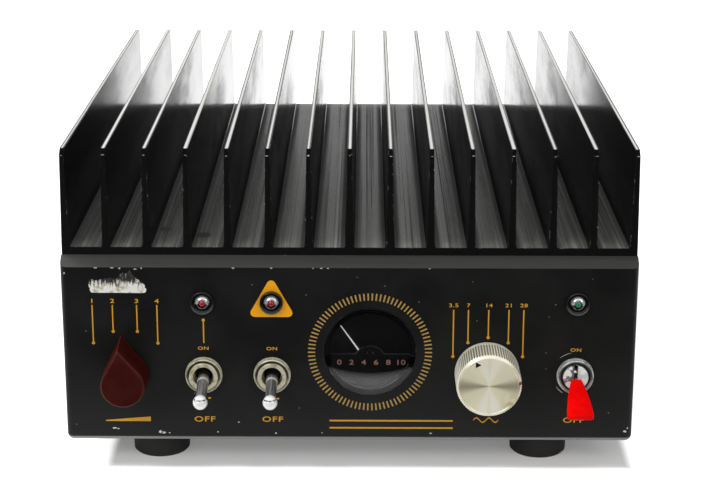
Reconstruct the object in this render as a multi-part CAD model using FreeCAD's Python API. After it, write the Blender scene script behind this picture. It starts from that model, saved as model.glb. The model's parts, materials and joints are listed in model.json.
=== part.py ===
import FreeCAD, Part
import math
import os

# HF linear amplifier: a finned heat sink on a low steel case, with its controls on the front panel.
# Millimetres. While it is modelled, X runs to the right, Y back from the face of the front panel,
# and Z up from the surface under the feet. The last step puts the origin under the middle.

V = FreeCAD.Vector
RIGHT = V(1, 0, 0)
BACK = V(0, 1, 0)
UP = V(0, 0, 1)

# ---------------------------------------------------------------- driving dimensions
# case
foot_height = 10.0
cover_lift = 0.5            # the sheet cover sits this much above the panel's lower edge
panel_width = 227.6
panel_face_top = 83.3       # lower edge of the bevel
panel_top = 86.8
panel_depth = 5.5
panel_edge_round = 2.4
panel_corner_round = 2.7
chassis_sheet = 1.5
chassis_gap = 0.2           # round a chassis plate, in the panel's rebate and in the cover
chassis_corner = 1.2        # rounding of a chassis plate's lower corners, inside the cover's bend
flange_depth = 20.0
flange_gap = 1.0            # between a flange's end and a side rail
cover_inset = 2.3           # the cover's side inside the panel's edge
cover_sheet = 1.5
cover_bend = 2.5
cover_top_gap = 0.5
rail_leg = 15.0
rail_height = 22.0
rail_end_gap = 2.5

# heat sink
sink_length = 255.7
sink_base_top = 90.0
sink_base_bottom = 82.0
sink_inset = 0.3            # the heat sink's side inside the panel's edge
fin_count = 15
fin_top = 129.5
fin_tip_thickness = 1.7
fin_root_thickness = 3.0
fin_root_fillet = 0.9
fin_end_chamfer = 2.3

# feet
foot_bottom_radius = 11.4
foot_top_radius = 11.8
foot_edge = 0.8
foot_side_inset = 36.3      # middle of a foot from the panel's side
foot_inset = 17.6           # and from the panel's face
foot_pocket_radius = 4.2
foot_pocket_depth = 5.0
foot_screw_radius = 1.95
foot_screw_head_radius = 3.6
foot_screw_head = 2.4
foot_screw_grip = 4.5       # thread above the foot

# M3 screws
screw_radius = 1.45
screw_head_radius = 2.8
screw_head = 1.8
screw_slot = 0.8
screw_slot_depth = 0.7
screw_crown = 0.75          # flat top of a head, as a share of its radius
screw_shoulder = 0.55       # where its rounding starts, as a share of its height
screw_clearance = 0.15
thread_clearance = 0.05
screw_end_gap = 0.5         # under a screw's end in a blind hole
sheet_screw_end = 1.5       # thread past the sheets it holds
sink_screw_grip = 4.0       # thread in the heat sink
panel_screw_grip = 2.5
socket_screw_end = 0.4
side_screw_inset = 38.0     # first side screw from the end of the heat sink
rail_screw_inset = 51.0
bottom_screw_inset = 40.0   # from the end of a flange
flange_screw_inset = 20.0
panel_screw_inset = 9.0     # from the side of the chassis plate
panel_screw_margin = 6.0    # from its top and bottom edge

# controls: the outer columns from the panel's sides, the others on the way between those two
level_inset = 25.0
power_inset = 23.8
rx_way = 0.172
mode_way = 0.3244
meter_way = 0.5425
band_way = 0.8031
switch_height = 38.6
level_height = 38.8
band_height = 39.9
lamp_height = 69.0
meter_height = 48.3

# toggle switches
bushing_radius = 5.95
bushing_hole_clearance = 0.15
bushing_reach = 3.3         # in front of the panel's face
bushing_edge = 0.4
bushing_mouth_radius = 4.05
bushing_mouth_depth = 3.5
bushing_flange_radius = 8.5
bushing_flange = 1.0
lever_ball_radius = 3.2
lever_ball_clearance = 0.25
lever_pivot_depth = 2.5     # behind the panel's face
lever_neck_radius = 2.35
lever_neck_end = 7.2        # from the pivot
lever_shoulder = 1.0
lever_stem_radius = 2.25
lever_waist_radius = 2.05
lever_tip_radius = 2.9
lever_tip_distance = 21.8   # from the pivot to the middle of the tip
lever_tail = 3.6
lever_tail_radius = 1.3
lever_tilt = 12.0           # below level
lever_pin_radius = 0.8
lever_pin_inset = 0.5       # a pin's end inside the bushing's thread
pivot_clearance = 0.05
dress_nut_radius = 7.1
dress_nut_thickness = 2.3
dress_nut_edge = 0.5
washer_radius = 7.4
washer_thickness = 0.6
washer_clearance = 0.1
toggle_body_width = 17.6
toggle_body_height = 28.6
toggle_body_depth = 19.5
toggle_body_edge = 1.2
lug_length = 8.0
lug_width = 5.0
lug_thickness = 0.8
lug_pitch = 9.5

# power toggle
blade_thickness = 1.1
blade_height = 3.6
blade_reach = 12.5
slot_clearance = 0.2
power_slot_height = 10.4
power_bushing_reach = 3.0   # in front of the panel's face
power_face_radius = 5.0
power_face_step = 1.2       # the slotted face stands out of the thread
power_face_edge = 0.3
power_face_wall = 1.6
power_hub_gap = 1.2         # round the lever's hub
power_tilt = 18.0
paddle_start = 7.4          # from the pivot
paddle_end = 27.8
paddle_neck_width = 4.1
paddle_end_width = 10.3
paddle_bow = 0.65           # fullness of each side
paddle_neck_thickness = 5.6
paddle_end_thickness = 2.2
paddle_corner = 1.2
paddle_edge = 0.5
blade_fit = 0.05

# rotary controls
shaft_radius = 3.0
rotary_bushing_radius = 4.45
rotary_bushing_reach = 4.0
rotary_bushing_edge = 0.4
rotary_nut_flats = 12.0
rotary_nut_thickness = 2.2
knob_gap = 0.7              # between a knob and the panel
knob_recess_clearance = 0.35
knob_recess_gap = 1.0       # in front of the bushing's end
knob_cap = 3.0              # between a knob's face and the end of its bore
shaft_end_gap = 0.5
level_lobe_radius = 9.1
level_lobe_face_radius = 8.7
level_pointer = 16.4
level_pointer_face = 15.0
level_depth = 15.0
level_rim = 0.5
level_start_angle = -15.0   # second of four positions, 30 degrees apart
level_knob_angle = 8.5      # how far the knob sits from its switch's position
level_body_radius = 12.5
level_body_depth = 15.5
level_body_back = 3.0       # closed back behind the shaft's space
level_shaft_gap = 2.0       # between the shaft's end and that back
level_shaft_clearance = 0.3
level_lugs = 8
level_lug_width = 1.8
level_lug_length = 4.0
level_lug_margin = 3.0
band_knob_radius = 12.9
band_knob_face_radius = 12.6
band_knob_depth = 16.0
band_knob_rim = 0.9
band_knob_shoulder = 0.55   # height of the slope between the knurl and the rim
band_knob_dish = 0.35
band_knob_dish_radius = 11.6
band_knob_foot = 2.0        # plain band under the knurl
band_knurl_teeth = 72
band_knurl_depth = 0.45
set_screw_radius = 1.5
set_screw_length = 5.0
set_screw_slot = 0.6
set_screw_slot_depth = 0.8
wafer_radius = 15.5
wafer_thickness = 1.6
wafer_first = 32.0
wafer_pitch = 26.0
wafer_count = 3
wafer_contacts = 12
wafer_contact_width = 2.2
wafer_contact_proud = 0.5
rotor_radius = 8.0
rotor_gap = 0.3
rotor_tab_width = 3.0
rotor_tab_start = 4.0       # inside the rotor, from the middle of the shaft
rotor_tab_margin = 0.5
rotor_tab_proud = 1.0
tie_rod_radius = 1.2
tie_rod_spread = 12.2
tie_rod_end = 1.5           # past the rear bearing plate
bearing_plate_width = 32.0
bearing_plate_height = 34.0
bearing_plate = 1.5
detent_radius = 11.0
detent_depth = 7.0

# lamps
lamp_barrel_radius = 3.0
lamp_barrel_depth = 9.0
lamp_rim_radius = 4.6
lamp_rim = 2.0
lamp_rim_wall = 0.5
lamp_rim_edge = 0.2
lamp_groove_radius = 2.9    # foot of the dome
lamp_groove = 0.4           # its floor in front of the panel
lamp_dome_radius = 1.75
lamp_dome_reach = 2.2
lamp_dome_bulge = 0.3
led_radius = 1.35
led_reach = 2.8
led_clearance = 0.1

# meter
lens_radius = 18.0
lens_wall = 2.0
lens_side_reach = 0.5
lens_dome_reach = 3.2
lens_flange_radius = 20.5
lens_flange = 1.5
window_clearance = 0.3
mask_thickness = 0.8
mask_edge = -3.2            # top of the mask, from the meter's middle
mask_arch = 0.0             # top of its arch
mask_arch_radius = 6.5
mask_rim = 1.2
mask_bearing = 0.4          # depth of the staff's hole behind
dial_depth = 11.0
dial_thickness = 0.8
dial_hole_radius = 2.6
meter_cup_radius = 22.5
meter_cup_wall = 1.7
meter_cup_back = 28.0
meter_cup_floor = 3.0
meter_ledge = 2.3
meter_ear_reach = 6.0
meter_ear_half_width = 5.0
meter_ear_thickness = 2.0
pivot_drop = 8.8            # staff below the meter's middle
needle_length = 20.2
needle_tail = 6.0
needle_width = 0.75
needle_tail_width = 1.2
needle_tip_width = 0.35
needle_thickness = 0.35
needle_depth = 9.2
needle_rest_angle = -35.0
needle_hub_radius = 1.7
needle_hub_proud = 0.3
staff_radius = 0.8
staff_end_gap = 0.2
staff_rear_grip = 1.7       # of the staff in the housing's floor
staff_hole_end = 1.0        # solid behind that bearing
jewel_boss_radius = 2.0
jewel_boss = 0.8
yoke_radius = 9.4
yoke_bore = 7.4
core_radius = 4.3
core_bore = 1.2
yoke_front = 14.6
yoke_back = 20.4
yoke_bar = 3.0
yoke_bar_overlap = 0.5
coil_half_width = 6.2
coil_bar = 1.3
coil_thickness = 1.6
coil_gap = 0.3              # in front of and behind the core

# rear connectors
socket_inset = 28.8         # from the panel's side
socket_pitch = 40.0
socket_height = 45.0
socket_edge = 0.5
socket_contact_proud = 0.6
socket_flange = 25.4
socket_flange_thickness = 1.6
socket_flange_round = 2.0
socket_barrel_radius = 7.94
socket_barrel = 13.4
socket_bore = 6.45
socket_neck_radius = 7.6
socket_neck = 6.0
socket_hole_clearance = 0.3
socket_screw_offset = 9.1
socket_cavity = 6.5
contact_radius = 2.85
contact_bore = 2.0
contact_bore_depth = 12.0
contact_tail = 5.0
contact_tail_radius = 1.8
insulator_fit = 0.05
phono_distance = 31.0       # from the input socket
phono_pitch = 18.0
phono_height = 45.0
phono_contact_recess = 2.5
phono_contact_tail = 3.0
phono_neck_wall = 0.8
phono_radius = 4.15
phono_wall = 0.7
phono_reach = 8.6
phono_flange_radius = 6.5
phono_flange = 1.2
phono_neck_radius = 3.2
phono_neck = 5.0
phono_contact_radius = 2.1
phono_contact_bore = 1.6
stud_inset = 21.8
stud_pitch = 30.0
stud_height = 40.0
stud_radius = 3.0
stud_reach = 22.0
stud_chamfer = 0.2          # of a stud's end, as a share of its radius
stud_tail = 14.0
stud_nut_flats = 10.0
stud_nut = 5.0
stud_insulator_radius = 8.5
stud_insulator = 5.0
stud_sleeve_radius = 5.0
stud_inner_insulator = 3.0
stud_insulator_edge = 0.8
stud_lug_gap = 1.0          # between the two outer nuts
ground_distance = 28.0      # from the stud next to it
ground_height = 24.0
ground_radius = 2.0
ground_reach = 16.0
ground_tail = 6.0
ground_nut_flats = 7.0
ground_nut = 3.2
wing_hub_radius = 4.0
wing_hub = 5.0
wing_span = 10.0
wing_thickness = 1.6
wing_rise = 4.5
wing_tip = 4.0              # width of a wing's top
wing_root = 1.0             # the wings start this far up and inside the hub
wing_gap = 2.5

# boards
board_thickness = 1.6
pa_inset = 13.8             # from the chassis plate's side
pa_right = 0.0
pa_back_inset = 49.2        # from the back of the heat sink
pa_length = 152.0
pa_drop = 6.0               # board below the heat sink
spacer_radius = 3.0
spacer_inset = 5.0
spacer_stud = 4.0           # thread of a spacer in the heat sink
control_spacer_stud = 1.3   # and in the chassis plate
transistor_left_inset = 21.0
transistor_right_inset = 25.0
transistor_screw_grip = 4.0
transistor_screw_path = 0.5 # round a screw's head in the board
transistor_rows = (48.0, 80.0)      # from the amplifier board's front edge
transistor_flange_length = 24.8
transistor_flange_width = 6.5
transistor_flange = 1.6
transistor_radius = 6.3
transistor_cap = 2.5
transistor_screw_pitch = 18.4
transistor_hole = 7.2
lead_span = 27.0
lead_width = 5.5
lead_thickness = 0.25
output_core_radius = 9.0
output_core_bore = 4.5
output_core_length = 40.0
output_row = 118.0          # from the board's front edge
input_core_radius = 5.5
input_core_bore = 2.5
input_core_length = 18.0
input_row = 20.0
end_plate = 1.0
tube_wall = 0.5
tube_fit = 0.05
filter_left = 12.0
filter_inset = 17.8         # from the chassis plate's side
filter_back_inset = 23.2    # from the back of the heat sink
filter_length = 134.0
filter_top = 57.6
coil_columns = 5
coil_inset = 9.0            # middle of the first coil from the board's side
coil_edge = 1.5
coil_rows = (23.0, 47.0)    # from the filter board's front edge
coil_radius = 10.5
coil_bore = 5.0
coil_width = 8.0
mica_row = 68.0             # from the filter board's front edge
mica_size = (8.0, 4.0, 9.0)
relay_row = 104.0           # from the filter board's front edge
relay_size = (18.0, 28.0, 20.0)
relay_inset = 14.0          # middle of the first relay from the board's side
relay_count = 3
relay_edge = 1.0
electrolytic_radius = 6.5
electrolytic_height = 22.0
electrolytic_edge = 0.8
electrolytic_left_inset = 6.0
electrolytic_right_inset = 10.0
electrolytic_left_rows = (118.0, 136.0)     # from the amplifier board's front edge
electrolytic_right_rows = (20.0, 136.0)
control_inset = 9.8         # from the chassis plate's side
control_right = -20.0
control_bottom = 16.0
control_top = 70.0
control_depth = 38.0
control_spacer_rows = (20.0, 63.0)
chip_rows = (28.0, 42.0, 56.0)
chip_count = 3
chip_inset = 13.0           # middle of the first package from the board's side
chip_size = (18.0, 4.0, 6.5)

# ---------------------------------------------------------------- sizes that follow
panel_half = panel_width / 2
cover_bottom = foot_height + cover_lift
chassis_bottom = cover_bottom + cover_sheet
cover_half = panel_half - cover_inset
chassis_half_width = cover_half - cover_sheet - chassis_gap
flange_half_width = chassis_half_width + chassis_gap - rail_leg - flange_gap
sink_half = panel_half - sink_inset
foot_column = panel_half - foot_side_inset
sink_front = panel_depth
sink_back = sink_front + sink_length
plate_front = panel_depth - chassis_sheet
rear_face = sink_back
rear_plate_front = rear_face - chassis_sheet
pa_top = sink_base_bottom - pa_drop
pa_bottom = pa_top - board_thickness
pa_left = -chassis_half_width + pa_inset
pa_back = sink_back - pa_back_inset
pa_front = pa_back - pa_length
filter_right = chassis_half_width - filter_inset
filter_back = sink_back - filter_back_inset
filter_front = filter_back - filter_length
control_left = -chassis_half_width + control_inset


def spread(first, last, count):
    """Evenly spaced positions from the first to the last."""
    return [first + (last - first) * i / (count - 1) for i in range(count)]


fin_columns = spread(-sink_half + fin_root_thickness / 2, sink_half - fin_root_thickness / 2, fin_count)

# columns of the controls
level_column = -panel_half + level_inset
power_column = panel_half - power_inset
rx_column, mode_column, meter_column, band_column = [
    level_column + (power_column - level_column) * way
    for way in (rx_way, mode_way, meter_way, band_way)]

# columns of the connectors
socket_columns = (panel_half - socket_inset - socket_pitch, panel_half - socket_inset)
phono_columns = (socket_columns[0] - phono_distance - phono_pitch, socket_columns[0] - phono_distance)
stud_columns = (-panel_half + stud_inset, -panel_half + stud_inset + stud_pitch)
ground_column = stud_columns[1] + ground_distance

# columns of the parts on the boards
transistor_columns = (pa_left + transistor_left_inset, pa_right - transistor_right_inset)
transformer_column = sum(transistor_columns) / 2
filter_columns = spread(filter_left + coil_inset, filter_right - coil_inset, coil_columns)
relay_columns = spread(filter_left + relay_inset, filter_right - relay_inset, relay_count)
chip_columns = spread(control_left + chip_inset, control_right - chip_inset, chip_count)
control_spacer_columns = ((level_column + rx_column) / 2, (rx_column + mode_column) / 2)


past = 1.0      # cutters start and end this far outside what they cut
tiny = 0.01     # for telling edges apart


# ---------------------------------------------------------------- shape helpers
def block(x0, x1, y0, y1, z0, z1):
    """Box between two corners."""
    return Part.makeBox(x1 - x0, y1 - y0, z1 - z0, V(x0, y0, z0))


def rod(start, direction, radius, length):
    """Cylinder from a start point."""
    return Part.makeCylinder(radius, length, start, direction)


def face_from(start, steps, place):
    """Closed face: a step is an end point, or a pair (point on the arc, end point)."""
    edges = []
    last = start
    for step in steps:
        if isinstance(step[0], tuple):
            middle, end = step
            edges.append(Part.Arc(place(last), place(middle), place(end)).toShape())
        else:
            end = step
            edges.append(Part.LineSegment(place(last), place(end)).toShape())
        last = end
    if last != start:
        edges.append(Part.LineSegment(place(last), place(start)).toShape())
    return Part.Face(Part.Wire(edges))


def upright(y):
    """Places (x, z) points in an upright plane across the case."""
    return lambda point: V(point[0], y, point[1])


def side_view(x):
    """Places (y, z) points in a plane along the case."""
    return lambda point: V(x, point[0], point[1])


def turned(start, *steps):
    """Solid of revolution about Z from (radius, height) points."""
    profile = face_from(start, steps, upright(0))
    return profile.revolve(V(0, 0, 0), UP, 360)


def stand(shape, position, direction):
    """Turns a shape's own Z axis to a direction and moves its origin to a position."""
    placed = shape.copy()
    placed.Placement = FreeCAD.Placement(position, FreeCAD.Rotation(UP, direction))
    return placed


def ring_arc(centre, radius, degrees):
    """Point on a circle, degrees counted from the first axis."""
    angle = math.radians(degrees)
    return (centre[0] + radius * math.cos(angle), centre[1] + radius * math.sin(angle))


def drill(shape, places, radius, depth):
    """Holes from a list of (position, direction), started a little outside the surface."""
    for position, direction in places:
        shape = shape.cut(rod(position - direction * past, direction, radius, depth + past))
    return shape


def bore_through(shape, position, direction, radius, length):
    """Hole through everything between a position and a length further on."""
    return shape.cut(rod(position - direction * past, direction, radius, length + 2 * past))


def pan_screw(radius, head_radius, head, length):
    """Slotted pan-head screw, its head below Z = 0 and its shank above."""
    crown = head_radius * screw_crown
    shoulder = head * screw_shoulder
    body = turned((0, -head), (crown, -head), (head_radius, -shoulder), (head_radius, 0),
                  (radius, 0), (radius, length), (0, length))
    slot = block(-head_radius, head_radius, -screw_slot / 2, screw_slot / 2,
                 -head, -head + screw_slot_depth)
    return body.cut(slot)


def m3_screws(places, length):
    """One M3 screw at each (position under the head, direction of the shank)."""
    pattern = pan_screw(screw_radius, screw_head_radius, screw_head, length)
    return [stand(pattern, position, direction) for position, direction in places]


def hex_nut(flats, bore, thickness):
    """Hexagon nut on the Z axis."""
    corner = flats / math.sqrt(3)
    points = [ring_arc((0, 0), corner, 60 * i) for i in range(7)]
    wire = Part.makePolygon([V(x, y, 0) for x, y in points])
    return bore_through(Part.Face(wire).extrude(V(0, 0, thickness)), V(0, 0, 0), UP, bore, thickness)


# ---------------------------------------------------------------- where the screws go
def along_sink(inset):
    """Rows at both ends of the heat sink and at its middle."""
    return spread(sink_front + inset, sink_back - inset, 3)


def side_screw_places():
    height = sink_base_bottom - rail_height / 2
    rows = along_sink(side_screw_inset)
    places = []
    for side in (-1, 1):
        for row in rows:
            places.append((V(side * cover_half, row, height), RIGHT * -side))
    return places


def bottom_screw_places():
    rows = (plate_front + chassis_sheet + flange_depth / 2, rear_plate_front - flange_depth / 2)
    columns = spread(-flange_half_width + bottom_screw_inset, flange_half_width - bottom_screw_inset, 3)
    return [(V(x, y, cover_bottom), UP) for y in rows for x in columns]


def flange_screw_places():
    height = sink_base_bottom - chassis_sheet
    rows = (plate_front + chassis_sheet + flange_depth / 2, rear_plate_front - flange_depth / 2)
    columns = spread(-flange_half_width + flange_screw_inset, flange_half_width - flange_screw_inset, 3)
    return [(V(x, y, height), UP) for y in rows for x in columns]


def rail_screw_places():
    height = sink_base_bottom - chassis_sheet
    column = chassis_half_width - rail_leg / 2
    rows = along_sink(rail_screw_inset)
    return [(V(side * column, row, height), UP) for side in (-1, 1) for row in rows]


def panel_screw_places():
    column = chassis_half_width - panel_screw_inset
    heights = (chassis_bottom + panel_screw_margin, sink_base_bottom - panel_screw_margin)
    return [(V(side * column, panel_depth, z), -BACK) for side in (-1, 1) for z in heights]


def meter_screw_places():
    offset = meter_cup_radius + meter_ear_reach / 2
    back = panel_depth + meter_ear_thickness
    return [(V(meter_column, back, meter_height + side * offset), -BACK) for side in (-1, 1)]


def transistor_places():
    return [(x, pa_front + row) for x in transistor_columns for row in transistor_rows]


def transistor_screw_places():
    height = sink_base_bottom - transistor_flange
    offset = transistor_screw_pitch / 2
    return [(V(x + side * offset, y, height), UP)
            for x, y in transistor_places() for side in (-1, 1)]


# lengths of the screws' shanks
cover_screw_length = cover_sheet + chassis_sheet + sheet_screw_end
sink_screw_length = chassis_sheet + sink_screw_grip
panel_screw_length = chassis_sheet + panel_screw_grip
meter_screw_length = meter_ear_thickness + chassis_sheet
transistor_screw_length = transistor_flange + transistor_screw_grip
socket_screw_length = socket_flange_thickness + chassis_sheet + socket_screw_end


# ---------------------------------------------------------------- case
def heat_sink():
    """Thick base with tapered fins, extruded from front to back."""
    tip = fin_tip_thickness / 2
    root = fin_root_thickness / 2
    steps = [(sink_half, sink_base_bottom), (sink_half, sink_base_top)]
    for x in reversed(fin_columns):
        if x != fin_columns[-1]:
            steps.append((x + root, sink_base_top))
        steps.append((x + tip, fin_top))
        steps.append((x - tip, fin_top))
        steps.append((x - root, sink_base_top))
    profile = face_from((-sink_half, sink_base_bottom), steps, upright(sink_front))
    sink = profile.extrude(V(0, sink_length, 0))
    valleys = []
    for edge in sink.Edges:
        middle = edge.CenterOfMass
        if abs(middle.z - sink_base_top) < tiny and abs(middle.x) < sink_half - tiny:
            if edge.Length > sink_length / 2:
                valleys.append(edge)
    sink = sink.makeFillet(fin_root_fillet, valleys)
    for y, inward in ((sink_front, 1), (sink_back, -1)):
        outside = y - inward * past
        corner = [(outside, fin_top + past), (y + inward * fin_end_chamfer, fin_top + past),
                  (y + inward * fin_end_chamfer, fin_top), (y, fin_top - fin_end_chamfer),
                  (outside, fin_top - fin_end_chamfer)]
        wedge = face_from(corner[0], corner[1:], side_view(-panel_width))
        sink = sink.cut(wedge.extrude(V(2 * panel_width, 0, 0)))
    tapped = screw_radius + thread_clearance
    sink = drill(sink, flange_screw_places() + rail_screw_places(), tapped,
                 sink_screw_length + screw_end_gap)
    sink = drill(sink, transistor_screw_places(), tapped, transistor_screw_length + screw_end_gap)
    spacers = [(V(x, y, sink_base_bottom), UP) for x, y in pa_spacer_places() + filter_spacer_places()]
    return drill(sink, spacers, tapped, spacer_stud + screw_end_gap)


def control_holes():
    """(x, z, radius) of every hole for a control in the panel and the plate behind it."""
    toggle = bushing_radius + bushing_hole_clearance
    rotary = rotary_bushing_radius + bushing_hole_clearance
    lamp = lamp_barrel_radius + bushing_hole_clearance
    holes = [(x, switch_height, toggle) for x in switch_columns()]
    holes += [(level_column, level_height, rotary), (band_column, band_height, rotary)]
    holes += [(x, lamp_height, lamp) for x in switch_columns()]
    holes.append((meter_column, meter_height, lens_radius + window_clearance))
    return holes


def front_panel():
    """Thick plate: rounded at the sides and below, bevelled along the top, rebated behind."""
    low = foot_height
    r = panel_corner_round
    right = (panel_half - r, low + r)
    left = (-panel_half + r, low + r)
    steps = [(panel_half - r, low), (ring_arc(right, r, -45), (panel_half, low + r)),
             (panel_half, panel_top), (-panel_half, panel_top), (-panel_half, low + r),
             (ring_arc(left, r, 225), (-panel_half + r, low))]
    panel = face_from((-panel_half + r, low), steps, upright(0)).extrude(V(0, panel_depth, 0))
    front_edges = []
    for edge in panel.Edges:
        middle = edge.CenterOfMass
        if abs(middle.y) < tiny and middle.z < panel_top - tiny:
            front_edges.append(edge)
    panel = panel.makeFillet(panel_edge_round, front_edges)
    above = [(-past, panel_top + past), (-past, panel_face_top), (0, panel_face_top),
             (panel_depth, panel_top), (panel_depth, panel_top + past)]
    bevel = face_from(above[0], above[1:], side_view(-panel_width))
    panel = panel.cut(bevel.extrude(V(2 * panel_width, 0, 0)))
    rebate = chassis_half_width + chassis_gap
    panel = panel.cut(block(-rebate, rebate, plate_front, panel_depth + past,
                            chassis_bottom, sink_base_bottom))
    for x, z, radius in control_holes():
        panel = bore_through(panel, V(x, 0, z), BACK, radius, panel_depth)
    return drill(panel, panel_screw_places(), screw_radius + thread_clearance, panel_screw_length)


def flanged_plate(face, inward):
    """Chassis plate in its plane, with flanges along its top and bottom bent inwards."""
    y = sorted((face, face + inward * chassis_sheet))
    deep = sorted((face, face + inward * (chassis_sheet + flange_depth)))
    plate = block(-chassis_half_width, chassis_half_width, y[0], y[1],
                  chassis_bottom, sink_base_bottom)
    corners = [e for e in plate.Edges if abs(e.CenterOfMass.x) > chassis_half_width - tiny
               and e.CenterOfMass.z < chassis_bottom + tiny]
    plate = plate.makeFillet(chassis_corner, corners)
    top = block(-flange_half_width, flange_half_width, deep[0], deep[1],
                sink_base_bottom - chassis_sheet, sink_base_bottom)
    foot = block(-flange_half_width, flange_half_width, deep[0], deep[1],
                 chassis_bottom, chassis_bottom + chassis_sheet)
    plate = plate.fuse([top, foot]).removeSplitter()
    through = screw_radius + screw_clearance
    plate = drill(plate, flange_screw_places(), through, chassis_sheet)
    under = cover_sheet + chassis_sheet + past
    plate = drill(plate, bottom_screw_places(), screw_radius + thread_clearance, under)
    return drill(plate, foot_holes(), foot_screw_radius + thread_clearance, under)


def front_chassis():
    """Steel plate behind the panel that carries the controls."""
    plate = flanged_plate(plate_front, 1)
    for x, z, radius in control_holes():
        plate = bore_through(plate, V(x, plate_front, z), BACK, radius, chassis_sheet)
    plate = drill(plate, panel_screw_places(), screw_radius + screw_clearance, chassis_sheet)
    plate = drill(plate, meter_screw_places(), screw_radius + thread_clearance, meter_screw_length)
    posts = [(V(x, panel_depth, z), -BACK) for x, z in control_spacer_places()]
    return drill(plate, posts, screw_radius + thread_clearance, chassis_sheet + past)


def rear_panel():
    """Steel plate under the back of the heat sink, with the holes of its connectors."""
    plate = flanged_plate(rear_face, -1)
    holes = [(x, socket_height, socket_neck_radius + socket_hole_clearance) for x in socket_columns]
    holes += [(x, phono_height, phono_neck_radius + socket_hole_clearance) for x in phono_columns]
    holes += [(x, stud_height, stud_sleeve_radius + insulator_fit) for x in stud_columns]
    holes.append((ground_column, ground_height, ground_radius + screw_clearance))
    for x, z, radius in holes:
        plate = bore_through(plate, V(x, rear_plate_front, z), BACK, radius, chassis_sheet)
    return drill(plate, socket_screw_places(), screw_radius + thread_clearance,
                 socket_screw_length + past)


def bottom_cover():
    """Sheet folded to a U: the floor and both sides of the case."""
    low = cover_bottom
    high = sink_base_bottom - cover_top_gap
    out = cover_half
    inner = out - cover_sheet
    r = cover_bend
    ri = cover_bend - cover_sheet
    right = (out - r, low + r)
    left = (-out + r, low + r)
    steps = [(out - r, low), (ring_arc(right, r, -45), (out, low + r)), (out, high),
             (inner, high), (inner, low + r),
             (ring_arc(right, ri, -45), (out - r, low + cover_sheet)),
             (-out + r, low + cover_sheet), (ring_arc(left, ri, 225), (-inner, low + r)),
             (-inner, high), (-out, high), (-out, low + r),
             (ring_arc(left, r, 225), (-out + r, low))]
    cover = face_from((-out + r, low), steps, upright(sink_front)).extrude(V(0, sink_length, 0))
    through = screw_radius + screw_clearance
    cover = drill(cover, side_screw_places(), through, cover_sheet)
    cover = drill(cover, bottom_screw_places(), through, cover_sheet)
    return drill(cover, foot_holes(), foot_screw_radius + thread_clearance, cover_sheet + past)


def side_rails():
    """Angle strips under the heat sink's edges that the cover is screwed to."""
    front = plate_front + chassis_sheet + flange_depth + rail_end_gap
    back = rear_plate_front - flange_depth - rail_end_gap
    top = sink_base_bottom
    out = chassis_half_width + chassis_gap
    rails = []
    for side in (-1, 1):
        steps = [(side * out, top), (side * out, top - rail_height),
                 (side * (out - chassis_sheet), top - rail_height),
                 (side * (out - chassis_sheet), top - chassis_sheet),
                 (side * (out - rail_leg), top - chassis_sheet)]
        rail = face_from((side * (out - rail_leg), top), steps, upright(front))
        rail = rail.extrude(V(0, back - front, 0))
        rail = drill(rail, rail_screw_places(), screw_radius + screw_clearance, chassis_sheet)
        rails.append(drill(rail, side_screw_places(), screw_radius + thread_clearance,
                           cover_sheet + chassis_sheet + past))
    return rails


def foot_places():
    rows = (foot_inset, sink_back - foot_inset)
    return [(x, y) for y in rows for x in (-foot_column, foot_column)]


def foot_holes():
    return [(V(x, y, cover_bottom), UP) for x, y in foot_places()]


def rubber_feet():
    """Turned rubber feet with a pocket for the screw's head."""
    hole = foot_screw_radius + thread_clearance
    edge = foot_edge
    foot = turned((foot_pocket_radius, 0), (foot_bottom_radius - edge, 0), (foot_bottom_radius, edge),
                  (foot_top_radius, cover_bottom), (hole, cover_bottom),
                  (hole, foot_pocket_depth), (foot_pocket_radius, foot_pocket_depth))
    return [stand(foot, V(x, y, 0), UP) for x, y in foot_places()]


def foot_screws():
    length = cover_bottom - foot_pocket_depth + foot_screw_grip
    screw = pan_screw(foot_screw_radius, foot_screw_head_radius, foot_screw_head, length)
    return [stand(screw, V(x, y, foot_pocket_depth), UP) for x, y in foot_places()]


def machine_screws():
    """All the M3 screws of the case, one length for each place."""
    screws = m3_screws(side_screw_places() + bottom_screw_places(), cover_screw_length)
    screws += m3_screws(flange_screw_places() + rail_screw_places(), sink_screw_length)
    screws += m3_screws(panel_screw_places(), panel_screw_length)
    screws += m3_screws(meter_screw_places(), meter_screw_length)
    return screws + m3_screws(transistor_screw_places(), transistor_screw_length)


# ---------------------------------------------------------------- toggle switches
def switch_columns():
    return (rx_column, mode_column, power_column)


def pivot_point(column):
    return V(column, lever_pivot_depth, switch_height)


def toggle_bushing(column):
    """Threaded sleeve: a wide mouth in front, a closer bore round the lever's ball."""
    seat = lever_ball_radius + lever_ball_clearance
    back = panel_depth + bushing_flange
    length = bushing_reach + back
    edge = bushing_edge
    flange_start = length - bushing_flange
    sleeve = turned((bushing_mouth_radius + edge / 2, 0), (bushing_radius - edge, 0),
                    (bushing_radius, edge), (bushing_radius, flange_start),
                    (bushing_flange_radius, flange_start), (bushing_flange_radius, length),
                    (seat, length), (seat, bushing_mouth_depth + seat / 4),
                    (bushing_mouth_radius, bushing_mouth_depth), (bushing_mouth_radius, edge / 2))
    sleeve = stand(sleeve, V(column, -bushing_reach, switch_height), BACK)
    return drill_for_pin(sleeve, column)


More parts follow.
